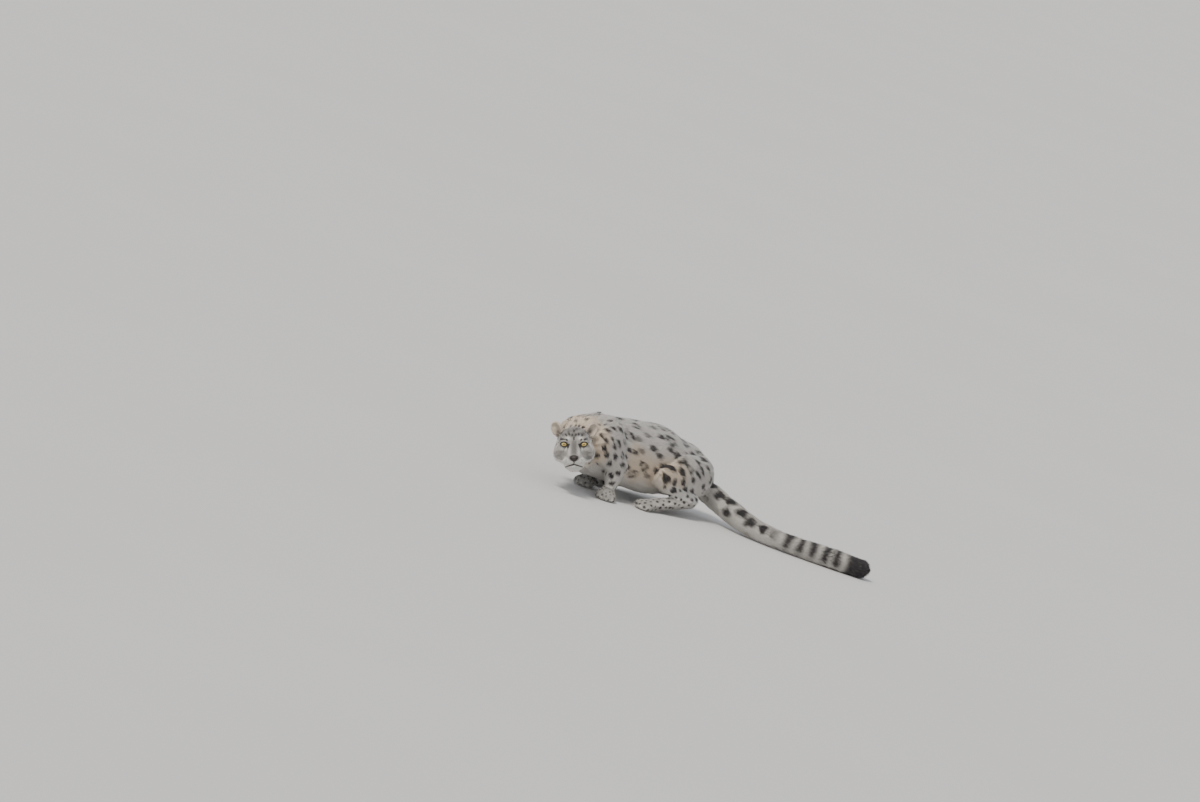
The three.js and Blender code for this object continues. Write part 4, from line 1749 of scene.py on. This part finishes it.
@dataclass
class NoseLeather:
    """The bare pad of the nose with its two nostrils."""

    frame: dict
    voxel: float = 0.9
    colour: tuple[float, float, float, float] = (0.022, 0.016, 0.017, 1)
    paler: tuple[float, float, float, float] = (0.042, 0.028, 0.028, 1)

    def build(self) -> bpy.types.Object:
        """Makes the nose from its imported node.

        Returns:
            The piece.
        """
        piece = placed("nose_pad", self.frame["nodes"]["nose"].data.copy())
        pick(piece)
        bpy.ops.object.mode_set(mode="EDIT")
        bpy.ops.mesh.select_all(action="SELECT")
        bpy.ops.mesh.remove_doubles(threshold=1e-5)
        bpy.ops.object.mode_set(mode="OBJECT")
        modify(piece, "REMESH", mode="VOXEL", voxel_size=self.voxel * MM)
        modify(piece, "SMOOTH", factor=0.5, iterations=6)
        piece.data.polygons.foreach_set("use_smooth", [True] * len(piece.data.polygons))
        piece.data.materials.clear()
        piece.data.materials.append(self.finish())
        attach(piece, "root")
        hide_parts("nose")
        LOG.info("nose_pad: %d faces", len(piece.data.polygons))
        return piece

    def finish(self) -> bpy.types.Material:
        """Makes the damp, pebbled leather.

        Returns:
            The material.
        """
        graph = Graph("nose_leather")
        where = graph.place()
        cells = graph.node("ShaderNodeTexVoronoi", {}, {"Vector": where, "Scale": 900.0}, "Distance")
        tint = graph.noise(where, 60.0)
        graph.feed("Base Color", graph.mix(tint, self.colour, self.paler))
        graph.feed("Roughness", (cells * 0.2 + 0.34).clamped())
        graph.bump(cells, 0.35, 0.0006)
        return graph.material


@dataclass
class Whiskers:
    """Stiff white hairs on the muzzle and over the eyes."""

    stance: Stance
    skin: Skin
    rows: int = 4
    each: int = 4
    length: float = 62
    root: float = 0.34
    seed: int = 17

    def build(self) -> bpy.types.Object:
        """Makes all whiskers as one piece.

        Returns:
            The piece.
        """
        draw = np.random.default_rng(self.seed)
        tree = self.skin.tree()
        curve = bpy.data.curves.new("whiskers", "CURVE")
        curve.dimensions = "3D"
        curve.bevel_depth = self.root * MM
        curve.bevel_resolution = 1
        curve.resolution_u = 3
        curve.use_fill_caps = True
        for side in (LEFT, RIGHT):
            for row in range(self.rows):
                for i in range(self.each):
                    start = (side * (20 + i * 4.5), 200, -50 - row * 5.0 - i * 0.5)
                    self.add(curve, tree, draw, side, start, self.length * (0.65 + 0.13 * i), -6 - row * 7)
            for i in range(3):
                self.add(curve, tree, draw, side, (side * (31 + i * 5), 200, 29 + i), 34, 42)
        pick(placed("whiskers", curve))
        bpy.ops.object.convert(target="MESH")
        piece = bpy.context.object
        graph = Graph("whisker")
        tint = graph.noise(graph.place(), 40.0)
        graph.feed("Base Color", graph.mix(tint, (0.78, 0.77, 0.74, 1), (0.62, 0.60, 0.57, 1)))
        graph.feed("Roughness", 0.4)
        piece.data.materials.clear()
        piece.data.materials.append(graph.material)
        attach(piece, "root")
        LOG.info("whiskers: %d faces", len(piece.data.polygons))
        return piece

    def add(
        self,
        curve: bpy.types.Curve,
        tree: BVHTree,
        draw: np.random.Generator,
        side: int,
        start: tuple[float, float, float],
        length: float,
        rise: float,
    ) -> None:
        """Adds one whisker: out of the skin, out to the side, and then back and down.

        Args:
            curve: The curve to add to.
            tree: The skin's search tree.
            draw: The source of random numbers.
            side: Which side of the face.
            start: In front of its root, in the head's own millimetres.
            length: Its length in millimetres.
            rise: How far it points up, in degrees.
        """
        axes = self.stance.head_axes()
        hit = tree.ray_cast(self.stance.head_point(*start), -axes[1])[0]
        if hit is None:
            return
        slope = math.radians(rise + draw.normal(0, 4))
        out = axes[0] * side * math.cos(slope) + axes[2] * math.sin(slope)
        reach = length * draw.uniform(0.85, 1.1) * MM
        spline = curve.splines.new("POLY")
        steps = 9
        spline.points.add(steps - 1)
        for k in range(steps):
            t = k / (steps - 1)
            place = np.array(hit) + out * reach * t * 0.93 + axes[1] * reach * (0.28 * t - 0.62 * t * t)
            place = place - np.array([0, 0, 1]) * reach * 0.14 * t * t - axes[1] * 0.8 * MM * (k == 0)
            spline.points[k].co = (*place, 1)
            spline.points[k].radius = 1 - 0.82 * t


@dataclass(frozen=True)
class Studio:
    """The pale floor and the soft light."""

    floor_size: float = 900
    sun_strength: float = 2.6
    sky_strength: float = 0.75

    def build(self) -> None:
        """Makes the floor and the lights."""
        bpy.ops.object.select_all(action="DESELECT")
        bpy.ops.mesh.primitive_plane_add(size=self.floor_size, location=(0, 0, 0))
        floor = bpy.context.object
        floor.name = "floor"
        graph = Graph("floor")
        tint = graph.noise(graph.place(), 0.6)
        graph.feed("Base Color", graph.mix(tint, (0.60, 0.59, 0.575, 1), (0.64, 0.63, 0.615, 1)))
        graph.feed("Roughness", 0.9)
        floor.data.materials.append(graph.material)
        world = bpy.data.worlds.new("studio")
        world.use_nodes = True
        world.node_tree.nodes["Background"].inputs["Color"].default_value = (0.92, 0.95, 1.0, 1)
        world.node_tree.nodes["Background"].inputs["Strength"].default_value = self.sky_strength
        bpy.context.scene.world = world
        data = bpy.data.lights.new("sun", "SUN")
        data.energy = self.sun_strength
        data.angle = math.radians(14)
        data.color = (1.0, 0.95, 0.88)
        sun = placed("sun", data)
        sun.rotation_euler = Vector((0.9, 0.22, -1.2)).to_track_quat("-Z", "Y").to_euler()


def main() -> None:
    """Builds the dressed animal in order."""
    logging.basicConfig(level=logging.INFO, format="%(message)s")
    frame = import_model()
    stance = Stance.of_frame()
    camera = PhotoCamera(stance)
    camera.build()
    Studio().build()
    tail = TailRoute(stance)
    skin = Skin(frame, stance, tail)
    skin.build()
    LOG.info("skin: %d points, %d faces", len(skin.points), len(skin.triangles))
    markings = Markings(skin, stance, camera, tail)
    markings.build()
    finish = CoatFinish()
    pattern = markings.colour(skin.points, skin.normals, skin.regions)
    attribute = skin.piece.data.color_attributes.new("coat", "FLOAT_COLOR", "POINT")
    attribute.data.foreach_set("color", pattern.ravel())
    skin.piece.data.materials.append(finish.build("skin", shaded_root=False))
    finish.build("coat_hair", shaded_root=True)
    Coat(skin, markings, stance, tail).build()
    Eyes(stance, EyeFinish()).build()
    NoseLeather(frame).build()
    Whiskers(stance, skin).build()


if __name__ == "__main__":
    main()
